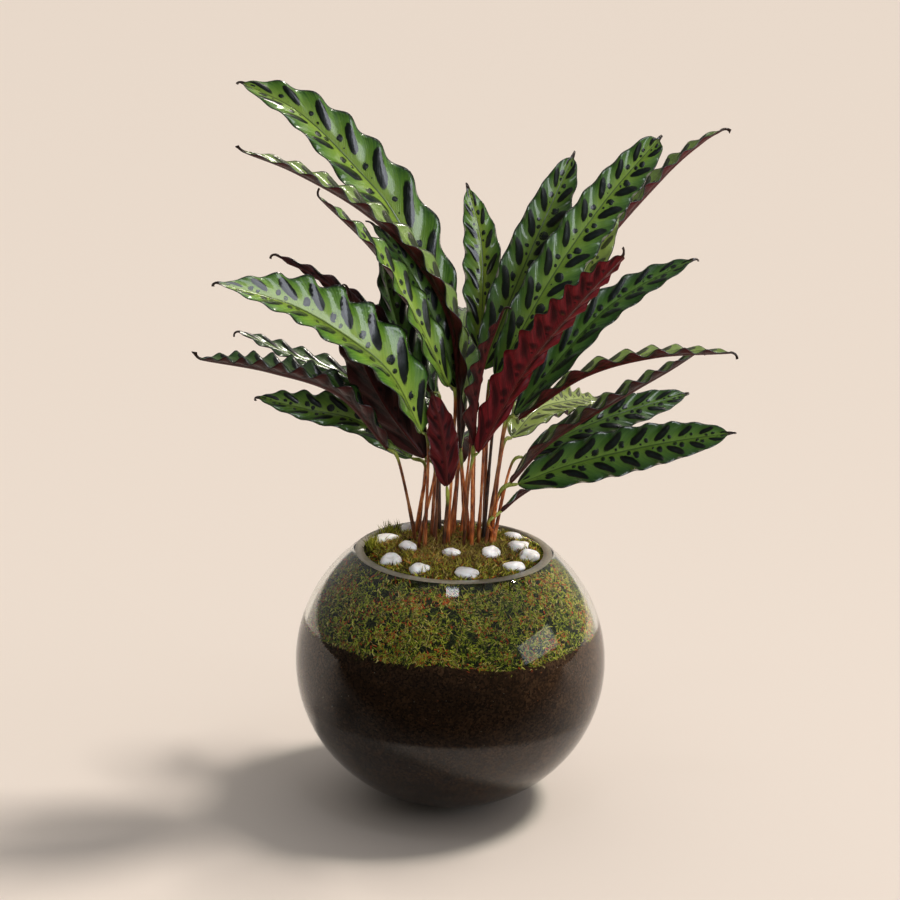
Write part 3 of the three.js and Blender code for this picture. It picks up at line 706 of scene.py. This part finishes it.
def leaf_upper_surface(add, settings):
    """Living leaf, upper face: waxy skin over yellow-green, with dark ovals that shine silver-blue."""
    pattern = leaf_pattern(add, settings)
    # glow is painted backlight: light through the leaf paints its upper face and ovals pale yellow-green
    glow = add(ATTRIBUTE, attribute_name="glow").outputs["Fac"]
    dried = add(ATTRIBUTE, attribute_name="dried").outputs["Fac"]
    streaks = add(RANGE, (pattern["streaks"], 0.3, 0.7, -0.14, 0.14))
    ribbed = add(MATH, (streaks, pattern["across"]), operation="ADD")
    # Darker leaves take the old ramp: partly their own age, partly painted shade on leaves that stand in
    # shade.
    fresh = add(RAMP, [ribbed], [(0.0, "#98B23C"), (0.4, "#7CA032"), (0.75, "#5E8A2A"), (1.0, "#305A1E")])
    old_and_shaded_green = add(RAMP, [ribbed], [(0.0, "#52762C"), (0.4, "#3A6024"), (0.75, "#284A1E"), (1.0, "#142E16")])
    green = add(MIX, {FACTOR: pattern["age"], FIRST: fresh, SECOND: old_and_shaded_green}, data_type="RGBA")
    rib = add(RANGE, (pattern["across"], 0.015, 0.045, 0.75, 0.0))
    # The ovals' centres are a little lighter and bluer than their rims: a faint painted sheen
    dark = add(RAMP, [pattern["edge"]], [(0.3, "#121E1A"), (0.6, "#0A1412"), (1.0, "#080F0A")])
    spots_paled_by_painted_backlight = add(MIX, {FACTOR: glow, FIRST: dark, SECOND: "#565E2E"}, data_type="RGBA")
    margin = add(RANGE, (pattern["across"], 0.93, 0.985))
    spots = pattern["spots"]
    colour = green
    for share, cover in (
        (glow, "#A3B45C"), (rib, "#28401C"), (spots, spots_paled_by_painted_backlight), (margin, "#10180C"), (dried, DRIED),
    ):
        colour = add(MIX, {FACTOR: share, FIRST: colour, SECOND: cover}, data_type="RGBA")
    shine = add(RANGE, {"Value": pattern["streaks"], "To Min": 0.25, "To Max": 0.45})
    return add(PRINCIPLED, {
        "Base Color": colour, "Roughness": shine, "Specular IOR Level": 0.4, "Coat Weight": 1.0,
        "Coat Roughness": 0.13, "Normal": leaf_relief(add, pattern, 0.6),
    })


def leaf_under_surface(add, settings):
    """Living leaf, underside: burgundy and nearly matt, with the ovals showing through as shade."""
    pattern = leaf_pattern(add, settings)
    dried = add(ATTRIBUTE, attribute_name="dried").outputs["Fac"]
    # red paints light and shade: wine red where light shines through, dark brown where it is in shade
    red = add(ATTRIBUTE, attribute_name="red").outputs["Fac"]
    soft = add(RANGE, (pattern["edge"], 0.5, 1.7, 0.8, 0.0), interpolation_type="SMOOTHSTEP")
    brown = add(RAMP, [pattern["streaks"]], [(0.3, "#1E0E0C"), (0.7, "#3A201C")])
    backlit_wine = add(RAMP, [pattern["streaks"]], [(0.3, "#42060E"), (0.7, "#7A0C1A")])
    skin = add(MIX, {FACTOR: red, FIRST: brown, SECOND: backlit_wine}, data_type="RGBA")
    shade = add(MIX, {FACTOR: red, FIRST: "#0E0606", SECOND: "#1A0406"}, data_type="RGBA")
    rib = add(RANGE, (pattern["across"], 0.02, 0.07, 0.8, 0.0))
    colour = skin
    for share, cover in ((soft, shade), (rib, "#4A1A16"), (dried, DRIED)):
        colour = add(MIX, {FACTOR: share, FIRST: colour, SECOND: cover}, data_type="RGBA")
    return add(PRINCIPLED, {
        "Base Color": colour, "Roughness": 0.4, "Specular IOR Level": 0.2,
        "Normal": leaf_relief(add, pattern, 0.35),
    })


# Sizes and colours that a user would change

class BowlSettings(bpy.types.PropertyGroup):
    tint: FloatVectorProperty(
        name="Glass tint", description="Colour of the glass", subtype="COLOR", size=4,
        default=linear("#F3F7F4"),
    )
    rim_bevel: FloatProperty(
        name="Rim bevel", description="Rounding of the cut rim's two edges", unit="LENGTH", default=0.0006,
    )


class FillingSettings(bpy.types.PropertyGroup):
    crumb: FloatProperty(
        name="Soil crumb", description="Size of a crumb of soil", unit="LENGTH", default=0.0014,
    )
    specks: IntProperty(name="Specks", description="Bark and grit specks that show at the glass", default=450)


class MossSettings(bpy.types.PropertyGroup):
    strand_length: FloatProperty(
        name="Strand length", description="Usual length of a strand", unit="LENGTH", default=0.0039,
    )
    strand_width: FloatProperty(
        name="Strand width", description="Width of a strand at its foot", unit="LENGTH", default=0.0015,
    )
    side_tufts: IntProperty(name="Side tufts", description="Tufts that lie against the glass", default=2900)
    top_tufts: IntProperty(name="Top tufts", description="Tufts that stand on the moss", default=1100)
    rim_tufts: IntProperty(name="Rim tufts", description="Tall tufts that look over the rim", default=14)


class LeafSettings(bpy.types.PropertyGroup):
    thickness: FloatProperty(
        name="Thickness", description="Thickness of a blade", unit="LENGTH", default=0.0006,
    )
    wave_height: FloatProperty(
        name="Wave height", description="Rise of the margin's waves", unit="LENGTH", default=0.0034,
    )
    vein_lean: FloatProperty(
        name="Vein lean", description="How far the veins lean to the tip, in waves", default=1.0,
    )
    veins_per_wave: IntProperty(name="Veins", description="Fine side veins in each wave", default=14)
    tail: FloatProperty(
        name="Dried tail", description="Length of the dried tip", unit="LENGTH", default=0.008,
    )


class StageSettings(bpy.types.PropertyGroup):
    floor: FloatVectorProperty(
        name="Floor", description="Colour of the floor", subtype="COLOR", size=4, default=linear("#E9DFD6"),
    )
    key_strength: FloatProperty(name="Key light", description="Strength of the key light", default=2.3)
    round_strength: FloatProperty(
        name="Light all round", description="Strength of the light from all round", default=0.43,
    )


# Operators

class PLANT_OT_glass_bowl(bpy.types.Operator):
    """Adds the blown glass bowl with its cut and polished rim"""

    bl_idname = "plant.glass_bowl"
    bl_label = "Glass bowl"

    def execute(self, context):
        settings = context.scene.plant_bowl
        bevel = settings.rim_bevel
        outer = glass_arc(0, BASE_ROUND_Z, BOWL_RIM_Z - bevel, 64)
        inner = glass_arc(BOWL_WALL, BOWL_FLOOR_Z, BOWL_RIM_Z - bevel, 60)
        rim_out = (spheroid_radius(BOWL_RIM_Z, 0) - bevel, BOWL_RIM_Z)
        rim_in = (spheroid_radius(BOWL_RIM_Z, BOWL_WALL) + bevel, BOWL_RIM_Z)
        foot = (outer[0][0] - BASE_ROUND, 0)
        bm = bmesh.new()
        profile = [(0, 0), foot, *outer, rim_out, rim_in, *reversed(inner), (0, BOWL_FLOOR_Z)]
        lathe(bm, profile, BOWL_STEPS)
        for face in bm.faces:
            centre = face.calc_center_median()
            if min(vertex.co.z for vertex in face.verts) > BOWL_RIM_Z - 1.5 * bevel:
                face.material_index = 1
            elif centre.z < SOIL_TOP_Z and face.normal.xy.dot(centre.xy) < 0:
                face.material_index = 2
        materials = [
            make_material("blown clear glass", glass_surface, settings.tint, 1.5),
            make_material("ground glass rim", rim_surface),
            make_material("clear glass against damp soil", glass_surface, settings.tint, 1.0),
        ]
        add_piece("blown_glass_bowl", bm, materials, "clear_glass", ["glass_bowl"])
        return {"FINISHED"}


class PLANT_OT_soil(bpy.types.Operator):
    """Adds the potting soil, with specks of bark and grit at the glass"""

    bl_idname = "plant.soil"
    bl_label = "Potting soil"

    SEED = 11

    def execute(self, context):
        settings = context.scene.plant_filling
        rng = random.Random(self.SEED)
        inset = BOWL_WALL + GAP
        low = BOWL_FLOOR_Z + GAP
        wall = glass_arc(inset, low, SOIL_TOP_Z, 64)
        heap = [(share * spheroid_radius(SOIL_TOP_Z, BOWL_WALL), z) for share, z in SOIL_HEAP]
        bm = bmesh.new()
        lathe(bm, [(0, low), *wall, *heap, (0, SOIL_HEAP_TOP_Z)], 240)
        span = SOIL_TOP_Z - low
        for vertex in bm.verts:
            if vertex.co.xy.length > 0.2 * BOWL_RADIUS and low < vertex.co.z <= SOIL_TOP_Z + GAP:
                angle = math.atan2(vertex.co.y, vertex.co.x)
                share = (vertex.co.z - low) / span
                vertex.co.z += share ** 3 * soil_line_wave(angle)
                pit = PIT_DEPTH * abs(noise.noise(vertex.co * PIT_SCALE))
                vertex.co.xy = (spheroid_radius(vertex.co.z, inset) - pit) * vertex.co.xy.normalized()
        cut_root_hole(bm)
        for _ in range(settings.specks):
            angle = rng.uniform(0, 2 * math.pi)
            z = lerp(low + 0.003, SOIL_TOP_Z - 0.004, rng.random() ** 0.6)
            size = rng.choice(SPECK_SIZES)
            place = Matrix.Translation(polar(angle, spheroid_radius(z, inset) - size, z))
            speck = bmesh.ops.create_icosphere(bm, subdivisions=1, radius=size, matrix=place)
            tone = 1 if rng.random() < 0.6 else 2
            for face in {face for vertex in speck["verts"] for face in vertex.link_faces}:
                face.material_index = tone
        stops = [(0.05, "#342013"), (0.3, "#523724"), (0.65, "#74523A")]
        soil = make_material("moist potting soil", ground_surface, stops, settings.crumb, 0.9, 0.2)
        bark = make_material("bark speck", plain_surface, "#C4682C", 0.8)
        grit = make_material("white grit", plain_surface, "#D9CDB6", 0.7)
        add_piece("moist_potting_soil", bm, [soil, bark, grit], "potting_soil", ["potting_soil"])
        return {"FINISHED"}


class PLANT_OT_moss(bpy.types.Operator):
    """Adds the moss: a bed that fills the bowl's shoulder, and its strands"""

    bl_idname = "plant.moss"
    bl_label = "Moss"

    SEED = 5

    def execute(self, context):
        self.add_bed()
        self.add_strands(context.scene.plant_moss)
        return {"FINISHED"}

    def add_bed(self):
        widest = spheroid_radius(SOIL_TOP_Z, BOWL_WALL)
        heap = [(share * widest, z + GAP) for share, z in reversed(SOIL_HEAP)]
        wall = glass_arc(BED_INSET, SOIL_TOP_Z + GAP, BED_SHOULDER_Z, 20)
        radii = [MOSS_TOP_RADIUS - 0.002 - 0.003 * step for step in range(22)]
        top = [(radius, moss_top_z(radius) - BED_DROP) for radius in radii]
        bm = bmesh.new()
        lathe(bm, [(0, SOIL_HEAP_TOP_Z + GAP), *heap, *wall, *top, (0, moss_top_z(0) - BED_DROP)], 144)
        for vertex in bm.verts:
            if vertex.co.xy.length > 0.95 * widest and vertex.co.z < SOIL_TOP_Z + 0.001:
                vertex.co.z += soil_line_wave(math.atan2(vertex.co.y, vertex.co.x))
            elif vertex.co.z > BED_SHOULDER_Z:
                vertex.co.z += BED_RELIEF * noise.noise(vertex.co * BED_RELIEF_SCALE)
        cut_root_hole(bm)
        # The bed's near-black moss colours are painted shade: the deep moss between the strands
        stops = [(0.02, "#0A0C04"), (0.3, "#262C0E"), (0.6, "#4A501C")]
        bed = make_material("shaded moss bed", ground_surface, stops, BED_GRAIN, 0.95, 0.8)
        add_piece("moss_bed", bm, [bed], "moss", ["moss"])

    def add_strands(self, settings):
        rng = random.Random(self.SEED)
        length, width = settings.strand_length, settings.strand_width
        lying = [self.tuft(rng, 0.003, length, width, (60, 100)) for _ in range(TUFT_KINDS)]
        standing = [self.tuft(rng, 0.0035, 1.4 * length, width, (30, 100)) for _ in range(TUFT_KINDS)]
        tall = self.tuft(rng, 0.003, 3 * length, width, (5, 50), (0.1, 0.5))
        mesh = bpy.data.meshes.new("tuft")
        bm = bmesh.new()
        for _ in range(settings.side_tufts):
            self.place_tuft(bm, mesh, rng.choice(lying), *self.side_spot(rng), rng)
        for _ in range(settings.top_tufts):
            point, out = self.top_spot(rng)
            if not any(self.covers(pebble, point) for pebble in PEBBLES):
                self.place_tuft(bm, mesh, rng.choice(standing), point, out, rng)
        for _ in range(settings.rim_tufts):
            self.place_tuft(bm, mesh, tall, self.rim_spot(rng), Vector((0, 0, 1)), rng)
        for tuft in [*lying, *standing, tall]:
            tuft.free()
        bpy.data.meshes.remove(mesh)
        strands = make_material("sheet moss strands", moss_strand_surface)
        add_piece("moss_strands", bm, [strands], "moss", smooth=False)

    def tuft(self, rng, spread, length, width, tilts, tints=(0, 1)):
        """Strands round the origin, with +Z out of the moss and tilts from it in degrees."""
        bm = bmesh.new()
        tint = bm.verts.layers.float.new("tint")
        for _ in range(TUFT_STRANDS):
            size = length * rng.uniform(0.55, 1.3)
            place = Matrix.Translation((rng.uniform(-spread, spread), rng.uniform(-spread, spread), 0))
            turn = Matrix.Rotation(rng.uniform(0, 2 * math.pi), 4, "Z")
            lean = Matrix.Rotation(math.radians(rng.uniform(*tilts)), 4, "X")
            matrix = place @ turn @ lean @ Matrix.Translation((0, 0, size / 2))
            strand = bmesh.ops.create_cone(
                bm, segments=3, radius1=width / 2, radius2=0, depth=size, cap_ends=True, matrix=matrix,
            )
            shade = rng.uniform(*tints)
            for vertex in strand["verts"]:
                vertex[tint] = shade
        return bm

    def side_spot(self, rng):
        """A point just inside the glass, and the way out."""
        angle = rng.uniform(0, 2 * math.pi)
        low = SOIL_TOP_Z + soil_line_wave(angle) - 0.001
        z = rng.uniform(low, BOWL_RIM_Z - 0.006)
        point = polar(angle, spheroid_radius(z, STRAND_INSET), z)
        squares = Vector((BOWL_RADIUS ** 2, BOWL_RADIUS ** 2, BOWL_HALF_HEIGHT ** 2))
        out = Vector((x / square for x, square in zip(point - BOWL_CENTRE, squares)))
        return point, out.normalized()

    def top_spot(self, rng):
        """A point on the mound, and the way out."""
        angle = rng.uniform(0, 2 * math.pi)
        radius = (MOSS_TOP_RADIUS - 0.001) * math.sqrt(rng.random())
        point = polar(angle, radius, moss_top_z(radius) - 0.0015)
        point.z += 0.001 + 0.005 * noise.noise(point * 110)
        return point, Vector((point.x, point.y, 0.2)).normalized()

    def rim_spot(self, rng):
        """A point at the left edge of the mound, behind the rim."""
        angle = math.radians(rng.uniform(130, 185))
        radius = MOSS_TOP_RADIUS - rng.uniform(0.001, 0.006)
        return polar(angle, radius, moss_top_z(radius))

    def covers(self, pebble, point):
        """Whether a pebble lies over a point of the moss."""
        away = Matrix.Rotation(-math.radians(pebble.turn), 2) @ (point.xy - Vector(pebble.at))
        return math.hypot(2 * away.x / pebble.size[0], 2 * away.y / pebble.size[1]) < 1

    def place_tuft(self, bm, mesh, tuft, point, out, rng):
        tuft.to_mesh(mesh)
        turn = out.to_track_quat("Z", "Y").to_matrix().to_4x4()
        spin = Matrix.Rotation(rng.uniform(0, 2 * math.pi), 4, "Z")
        mesh.transform(Matrix.Translation(point) @ turn @ spin)
        bm.from_mesh(mesh)


class PLANT_OT_pebbles(bpy.types.Operator):
    """Adds the white pebbles that lie on the moss"""

    bl_idname = "plant.pebbles"
    bl_label = "Pebbles"

    def execute(self, context):
        material = make_material("tumbled white marble", pebble_surface)
        for number, pebble in enumerate(PEBBLES, 1):
            bm = bmesh.new()
            bmesh.ops.create_icosphere(bm, subdivisions=5, radius=1)
            shift = Vector((number, 2 * number, 0))
            for vertex in bm.verts:
                dents = sum(depth * noise.noise(vertex.co * scale + shift) for depth, scale in PEBBLE_DENTS)
                vertex.co *= PEBBLE_BULK + dents
            middle = moss_top_z(math.hypot(*pebble.at)) + pebble.size[2] * PEBBLE_RISE
            half = [size / 2 for size in pebble.size]
            matrix = (
                Matrix.Translation((*pebble.at, middle))
                @ Matrix.Rotation(math.radians(pebble.turn), 4, "Z")
                @ Matrix.Diagonal((*half, 1))
            )
            bmesh.ops.transform(bm, matrix=matrix, verts=bm.verts)
            node = f"pebble_{number:02d}"
            add_piece(f"white_{node}", bm, [material], "white_pebble", [node])
        return {"FINISHED"}


class PLANT_OT_stalks(bpy.types.Operator):
    """Adds the rootstock and a stalk for each leaf"""

    bl_idname = "plant.stalks"
    bl_label = "Rootstock and stalks"

    SEED = 3
    ROWS = 44
    SIDES = 12

    def execute(self, context):
        rng = random.Random(self.SEED)
        bm = bmesh.new()
        bm.loops.layers.uv.new(STALK_MAP)
        bm.verts.layers.float.new("dark")
        lathe(bm, ROOT_PROFILE, ROOT_SIDES)
        bmesh.ops.transform(bm, matrix=root_place(0), verts=bm.verts)
        for face in bm.faces:
            face.material_index = 1
        for leaf in LEAVES:
            join(bm, self.stalk(leaf, rng))
        materials = [
            make_material("reddish leaf stalk", stalk_surface),
            make_material("brown rootstock", plain_surface, "#4A3222", 0.9),
        ]
        add_piece("rootstock_and_stalks", bm, materials, "leaf_stalk", ["crown_and_stalks"])
        return {"FINISHED"}

    def stalk(self, leaf, rng):
        """A tube from the rootstock to the blade, with a sheath below and a swollen joint above."""
        neck, along = leaf_path(leaf).at(0)
        x, y = MILLIMETRE * Vector(leaf.foot)
        path = Path([(x, y, STALK_ROOT_Z), (x, y, STALK_FOOT_Z), neck - STALK_LEAD * along, neck])
        sheath = rng.uniform(0.03, 0.07)
        girth = rng.uniform(0.0009, 0.0013)
        shade = rng.random() ** 2
        bm = bmesh.new()
        around = bm.loops.layers.uv.new(STALK_MAP)
        dark = bm.verts.layers.float.new("dark")
        bmesh.ops.create_grid(bm, x_segments=self.ROWS, y_segments=self.SIDES, size=1)
        spots = {}
        for vertex in bm.verts:
            share = (vertex.co.x + 1) / 2
            turn = (vertex.co.y + 1) / 2
            point, along = path.at(share)
            risen = share * path.length
            left = path.length - risen
            side = along.cross(Vector((1, 0, 0))).normalized()
            ahead = along.cross(side)
            angle = -2 * math.pi * turn
            reach = girth + self.swelling(risen, left, sheath)
            spots[vertex] = (left, turn)
            vertex[dark] = shade
            vertex.co = point + reach * (math.cos(angle) * side + math.sin(angle) * ahead)
        set_map(bm, around, spots)
        bmesh.ops.remove_doubles(bm, verts=bm.verts, dist=1e-6)
        bmesh.ops.holes_fill(bm, edges=[edge for edge in bm.edges if edge.is_boundary])
        bmesh.ops.recalc_face_normals(bm, faces=bm.faces)
        return bm

    def swelling(self, risen, left, sheath):
        """What a stalk adds to its radius, by how far it has risen, how far is left, and its sheath."""
        lip = LIP_SWELL / (1 + math.exp((risen - sheath) / LIP_STEP))
        joint = JOINT_SWELL * math.exp(-((left - JOINT_PLACE) / JOINT_SPREAD) ** 2)
        foot = FOOT_SWELL * math.exp(-risen / FOOT_SPREAD)
        return lip + joint + foot - NECK_TAPER * math.exp(-left / NECK_SPREAD)


class PLANT_OT_leaves(bpy.types.Operator):
    """Adds a waved and patterned blade for each leaf"""

    bl_idname = "plant.leaves"
    bl_label = "Leaves"

    SEED = 7

    def execute(self, context):
        settings = context.scene.plant_leaf
        rng = random.Random(self.SEED)
        materials = [
            make_material("waxy leaf upper face", leaf_upper_surface, settings),
            make_material("burgundy leaf underside", leaf_under_surface, settings),
        ]
        for number, leaf in enumerate(LEAVES, 1):
            node = f"leaf_{number:02d}"
            bm = self.blade(leaf, settings, rng)
            add_piece(f"rattlesnake_{node}", bm, materials, "leaf_blade", [node])
        return {"FINISHED"}

    def blade(self, leaf, settings, rng):
        """A closed thin blade: the upper face first, then its underside, rim and raised midrib."""
        path = leaf_path(leaf)
        rows = leaf.waves * ROWS_PER_WAVE
        curl = rng.uniform(0.8, 2.4) * rng.choice((1, 1, -1))
        seed = rng.uniform(0, 100)
        bm = bmesh.new()
        blade_map = bm.loops.layers.uv.new(BLADE_MAP)
        tone = {name: bm.verts.layers.float.new(name) for name in ("age", "glow", "red", "dried", "rib")}
        bmesh.ops.create_grid(bm, x_segments=rows + TAIL_ROWS, y_segments=COLUMNS, size=1)
        spots = {}
        for vertex in bm.verts:
            row = (vertex.co.x + 1) / 2 * (rows + TAIL_ROWS)
            across = -vertex.co.y * abs(vertex.co.y) ** 0.3
            tail = max(0.0, (row - rows) / TAIL_ROWS)
            phase = row / ROWS_PER_WAVE
            place = wave_place(min(row / rows, 1.0))
            spots[vertex] = (phase, across)
            # Age with painted shade, painted backlight, and the underside's painted light and shade
            vertex[tone["age"]] = leaf.age
            vertex[tone["glow"]] = leaf.glow
            vertex[tone["red"]] = leaf.red
            vertex[tone["dried"]] = min(1.0, tail * 4 + max(0.0, place - 0.985) * 40)
            ridge = math.exp(-(across / RIB_SPREAD) ** 2)
            vertex[tone["rib"]] = RIB_HEIGHT * (1 - 0.8 * place) * ridge * (1 - tail)
            vertex.co = self.blade_point(leaf, path, phase, place, across, tail, curl, seed, settings)
        set_map(bm, blade_map, spots)
        upper = set(bm.verts)
        bm.normal_update()
        bmesh.ops.solidify(bm, geom=bm.faces[:], thickness=settings.thickness)
        bm.normal_update()
        for vertex in bm.verts:
            if vertex not in upper:
                vertex.co += vertex.normal * vertex[tone["rib"]]
        for face in bm.faces:
            if not upper.intersection(face.verts):
                face.material_index = 1
        return bm

    def blade_point(self, leaf, path, phase, place, across, tail, curl, seed, settings):
        """Where a point of the upper face lies, from its place along and across the blade."""
        point, along = path.at(place)
        up = Vector(leaf.face).lerp(Vector(leaf.tip_face), place)
        up = (up - up.dot(along) * along).normalized()
        outline = blade_outline(place, leaf.tip_fullness)
        fold = math.radians(leaf.fold)
        half = max(MILLIMETRE * leaf.width * outline, BLADE_END_WIDTH) / 2
        if tail:
            turn = curl * tail
            bend = settings.tail / curl
            point = point + bend * (math.sin(turn) * along - (1 - math.cos(turn)) * up)
            ahead = math.cos(turn) * along - math.sin(turn) * up
            up = math.cos(turn) * up + math.sin(turn) * along
            along = ahead
            half *= 1 - TAIL_TAPER * tail
            fold += TAIL_FOLD * tail
        side = along.cross(up)
        reach = abs(across) * half
        crest = phase + settings.vein_lean * (1 - abs(across))
        swell = 1 + WAVE_CHANGE * noise.noise((crest * 0.7, seed, math.copysign(3, across)))
        height = settings.wave_height * math.sqrt(leaf.width / COMMON_WIDTH) * outline * swell
        wave = height * math.cos(2 * math.pi * crest)
        groove = GROOVE_DEPTH * math.exp(-(reach / GROOVE_SPREAD) ** 2) * outline
        roll = MARGIN_ROLL * outline * abs(across) ** 6
        scallop = 1 + SCALLOP * swell * outline * math.copysign(1, across) * math.cos(2 * math.pi * phase)
        lift = reach * math.sin(fold) + wave * across * abs(across) - groove - roll + settings.thickness / 2
        return point + math.copysign(reach * scallop * math.cos(fold), across) * side + lift * up


class PLANT_OT_stage(bpy.types.Operator):
    """Adds the pale floor, the soft lights and the camera"""

    bl_idname = "plant.stage"
    bl_label = "Stage"

    def execute(self, context):
        settings = context.scene.plant_stage
        context.scene.view_settings.view_transform = "Standard"
        self.add_floor(settings)
        self.add_surroundings(settings)
        self.add_key(settings)
        self.add_panel(SMALL_SOFTBOX)
        self.add_panel(RIGHT_SOFTBOX)
        self.add_panel(FRONT_SOFTBOX).light_linking.receiver_collection = softbox_group()
        self.add_camera(context)
        return {"FINISHED"}

    def add_floor(self, settings):
        bm = bmesh.new()
        bmesh.ops.create_grid(bm, x_segments=1, y_segments=1, size=FLOOR_HALF_WIDTH)
        mesh = mesh_of(bm, "floor")
        mesh.materials.append(make_material("pale floor", self.floor_surface, settings))
        floor = add_object("floor", mesh)

    def floor_surface(self, add, settings):
        """Pale matt floor. Some way in front of the bowl its mirror image is dim, so the soil shows clear."""
        place = add(COORDS).outputs["Object"]
        reach = add(VECTOR_MATH, [place], operation="LENGTH")
        far = add(RANGE, (reach, 0.185, 0.2))
        y = add(AXES, [place]).outputs["Y"]
        front = add(RANGE, (y, 0.15, -0.3), interpolation_type="SMOOTHSTEP")
        mirrored = add(MATH, (far, add(LIGHT_PATH).outputs["Is Glossy Ray"]), operation="MULTIPLY")
        dimmed = add(MATH, (mirrored, front), operation="MULTIPLY")
        colour = add(MIX, {FACTOR: dimmed, FIRST: settings.floor, SECOND: "#2A231D"}, data_type="RGBA")
        return add(PRINCIPLED, {"Base Color": colour, "Roughness": 0.7})

    def add_surroundings(self, settings):
        """Warm light from all round, bright above and behind the plant and dim in front of it.

        The camera sees one pale colour in its place, and its mirror image in the glass is dimmed.
        """
        world = bpy.data.worlds.new("surroundings")
        world.use_nodes = True
        world.node_tree.nodes.clear()
        add = partial(add_node, world.node_tree)
        way = add(COORDS).outputs["Generated"]
        facing = add(VECTOR_MATH, (way, (0.25, 0.75, 0.6)), operation="DOT_PRODUCT")
        dim, bright = 0.25 * settings.round_strength, 1.6 * settings.round_strength
        glow = add(RANGE, (facing, -0.3, 0.9, dim, bright))
        path = add(LIGHT_PATH)
        mirrored = add(RANGE, {"Value": path.outputs["Is Glossy Ray"], "To Min": 1.0, "To Max": 0.4})
        strength = add(MATH, (glow, mirrored), operation="MULTIPLY")
        light = add("ShaderNodeBackground", ("#F6F2ED", strength))
        ground = add("ShaderNodeBackground", ["#E2D6C8"])
        seen = add(MIX_SHADER, (path.outputs["Is Camera Ray"], light, ground))
        add("ShaderNodeOutputWorld", [seen])
        bpy.context.scene.world = world

    def add_key(self, settings):
        lamp = bpy.data.lights.new("key", "SUN")
        lamp.angle = KEY_WIDTH
        lamp.energy = settings.key_strength
        lamp.color = linear("#FFF6EC")[:3]
        add_object("key", lamp).rotation_euler = KEY_WAY.to_track_quat("Z", "Y").to_euler()

    def add_panel(self, panel):
        lamp = bpy.data.lights.new(panel.name, "AREA")
        lamp.shape = "RECTANGLE"
        lamp.size = panel.width
        lamp.size_y = panel.height
        lamp.energy = panel.power
        lamp.color = linear(panel.colour)[:3]
        thing = add_object(panel.name, lamp)
        thing.location = panel.place
        way = Vector(panel.aim) - Vector(panel.place)
        thing.rotation_euler = way.to_track_quat("-Z", "Y").to_euler()
        return thing

    def add_camera(self, context):
        camera = bpy.data.cameras.new("camera")
        camera.lens = CAMERA_LENS
        thing = add_object("camera", camera)
        thing.location = CAMERA_PLACE
        tilt = Matrix.Rotation(math.pi / 2 - CAMERA_DOWN, 3, "X")
        thing.rotation_euler = (tilt @ Matrix.Rotation(CAMERA_ROLL, 3, "Z")).to_euler()
        context.scene.camera = thing


STEPS = (
    PLANT_OT_stage, PLANT_OT_glass_bowl, PLANT_OT_soil, PLANT_OT_moss, PLANT_OT_pebbles, PLANT_OT_stalks,
    PLANT_OT_leaves,
)
SETTINGS = {
    "plant_bowl": BowlSettings, "plant_filling": FillingSettings, "plant_moss": MossSettings,
    "plant_leaf": LeafSettings, "plant_stage": StageSettings,
}


class PLANT_PT_sidebar(bpy.types.Panel):
    """Lists the plant's pieces and their settings"""

    bl_idname = "PLANT_PT_sidebar"
    bl_label = "Rattlesnake plant"
    bl_space_type = "VIEW_3D"
    bl_region_type = "UI"
    bl_category = "Plant"

    def draw(self, context):
        for step in STEPS:
            self.layout.operator(step.bl_idname)
        for name, group in SETTINGS.items():
            box = self.layout.box()
            for key in group.__annotations__:
                box.prop(getattr(context.scene, name), key)


CLASSES = (*SETTINGS.values(), *STEPS, PLANT_PT_sidebar)


def register():
    for item in CLASSES:
        bpy.utils.register_class(item)
    for name, group in SETTINGS.items():
        setattr(bpy.types.Scene, name, PointerProperty(type=group))


def unregister():
    for name in SETTINGS:
        delattr(bpy.types.Scene, name)
    for item in reversed(CLASSES):
        bpy.utils.unregister_class(item)


def main():
    register()
    bpy.ops.plant.stage()
    bpy.ops.plant.glass_bowl()
    bpy.ops.plant.soil()
    bpy.ops.plant.moss()
    bpy.ops.plant.pebbles()
    bpy.ops.plant.stalks()
    bpy.ops.plant.leaves()


if __name__ == "__main__":
    main()
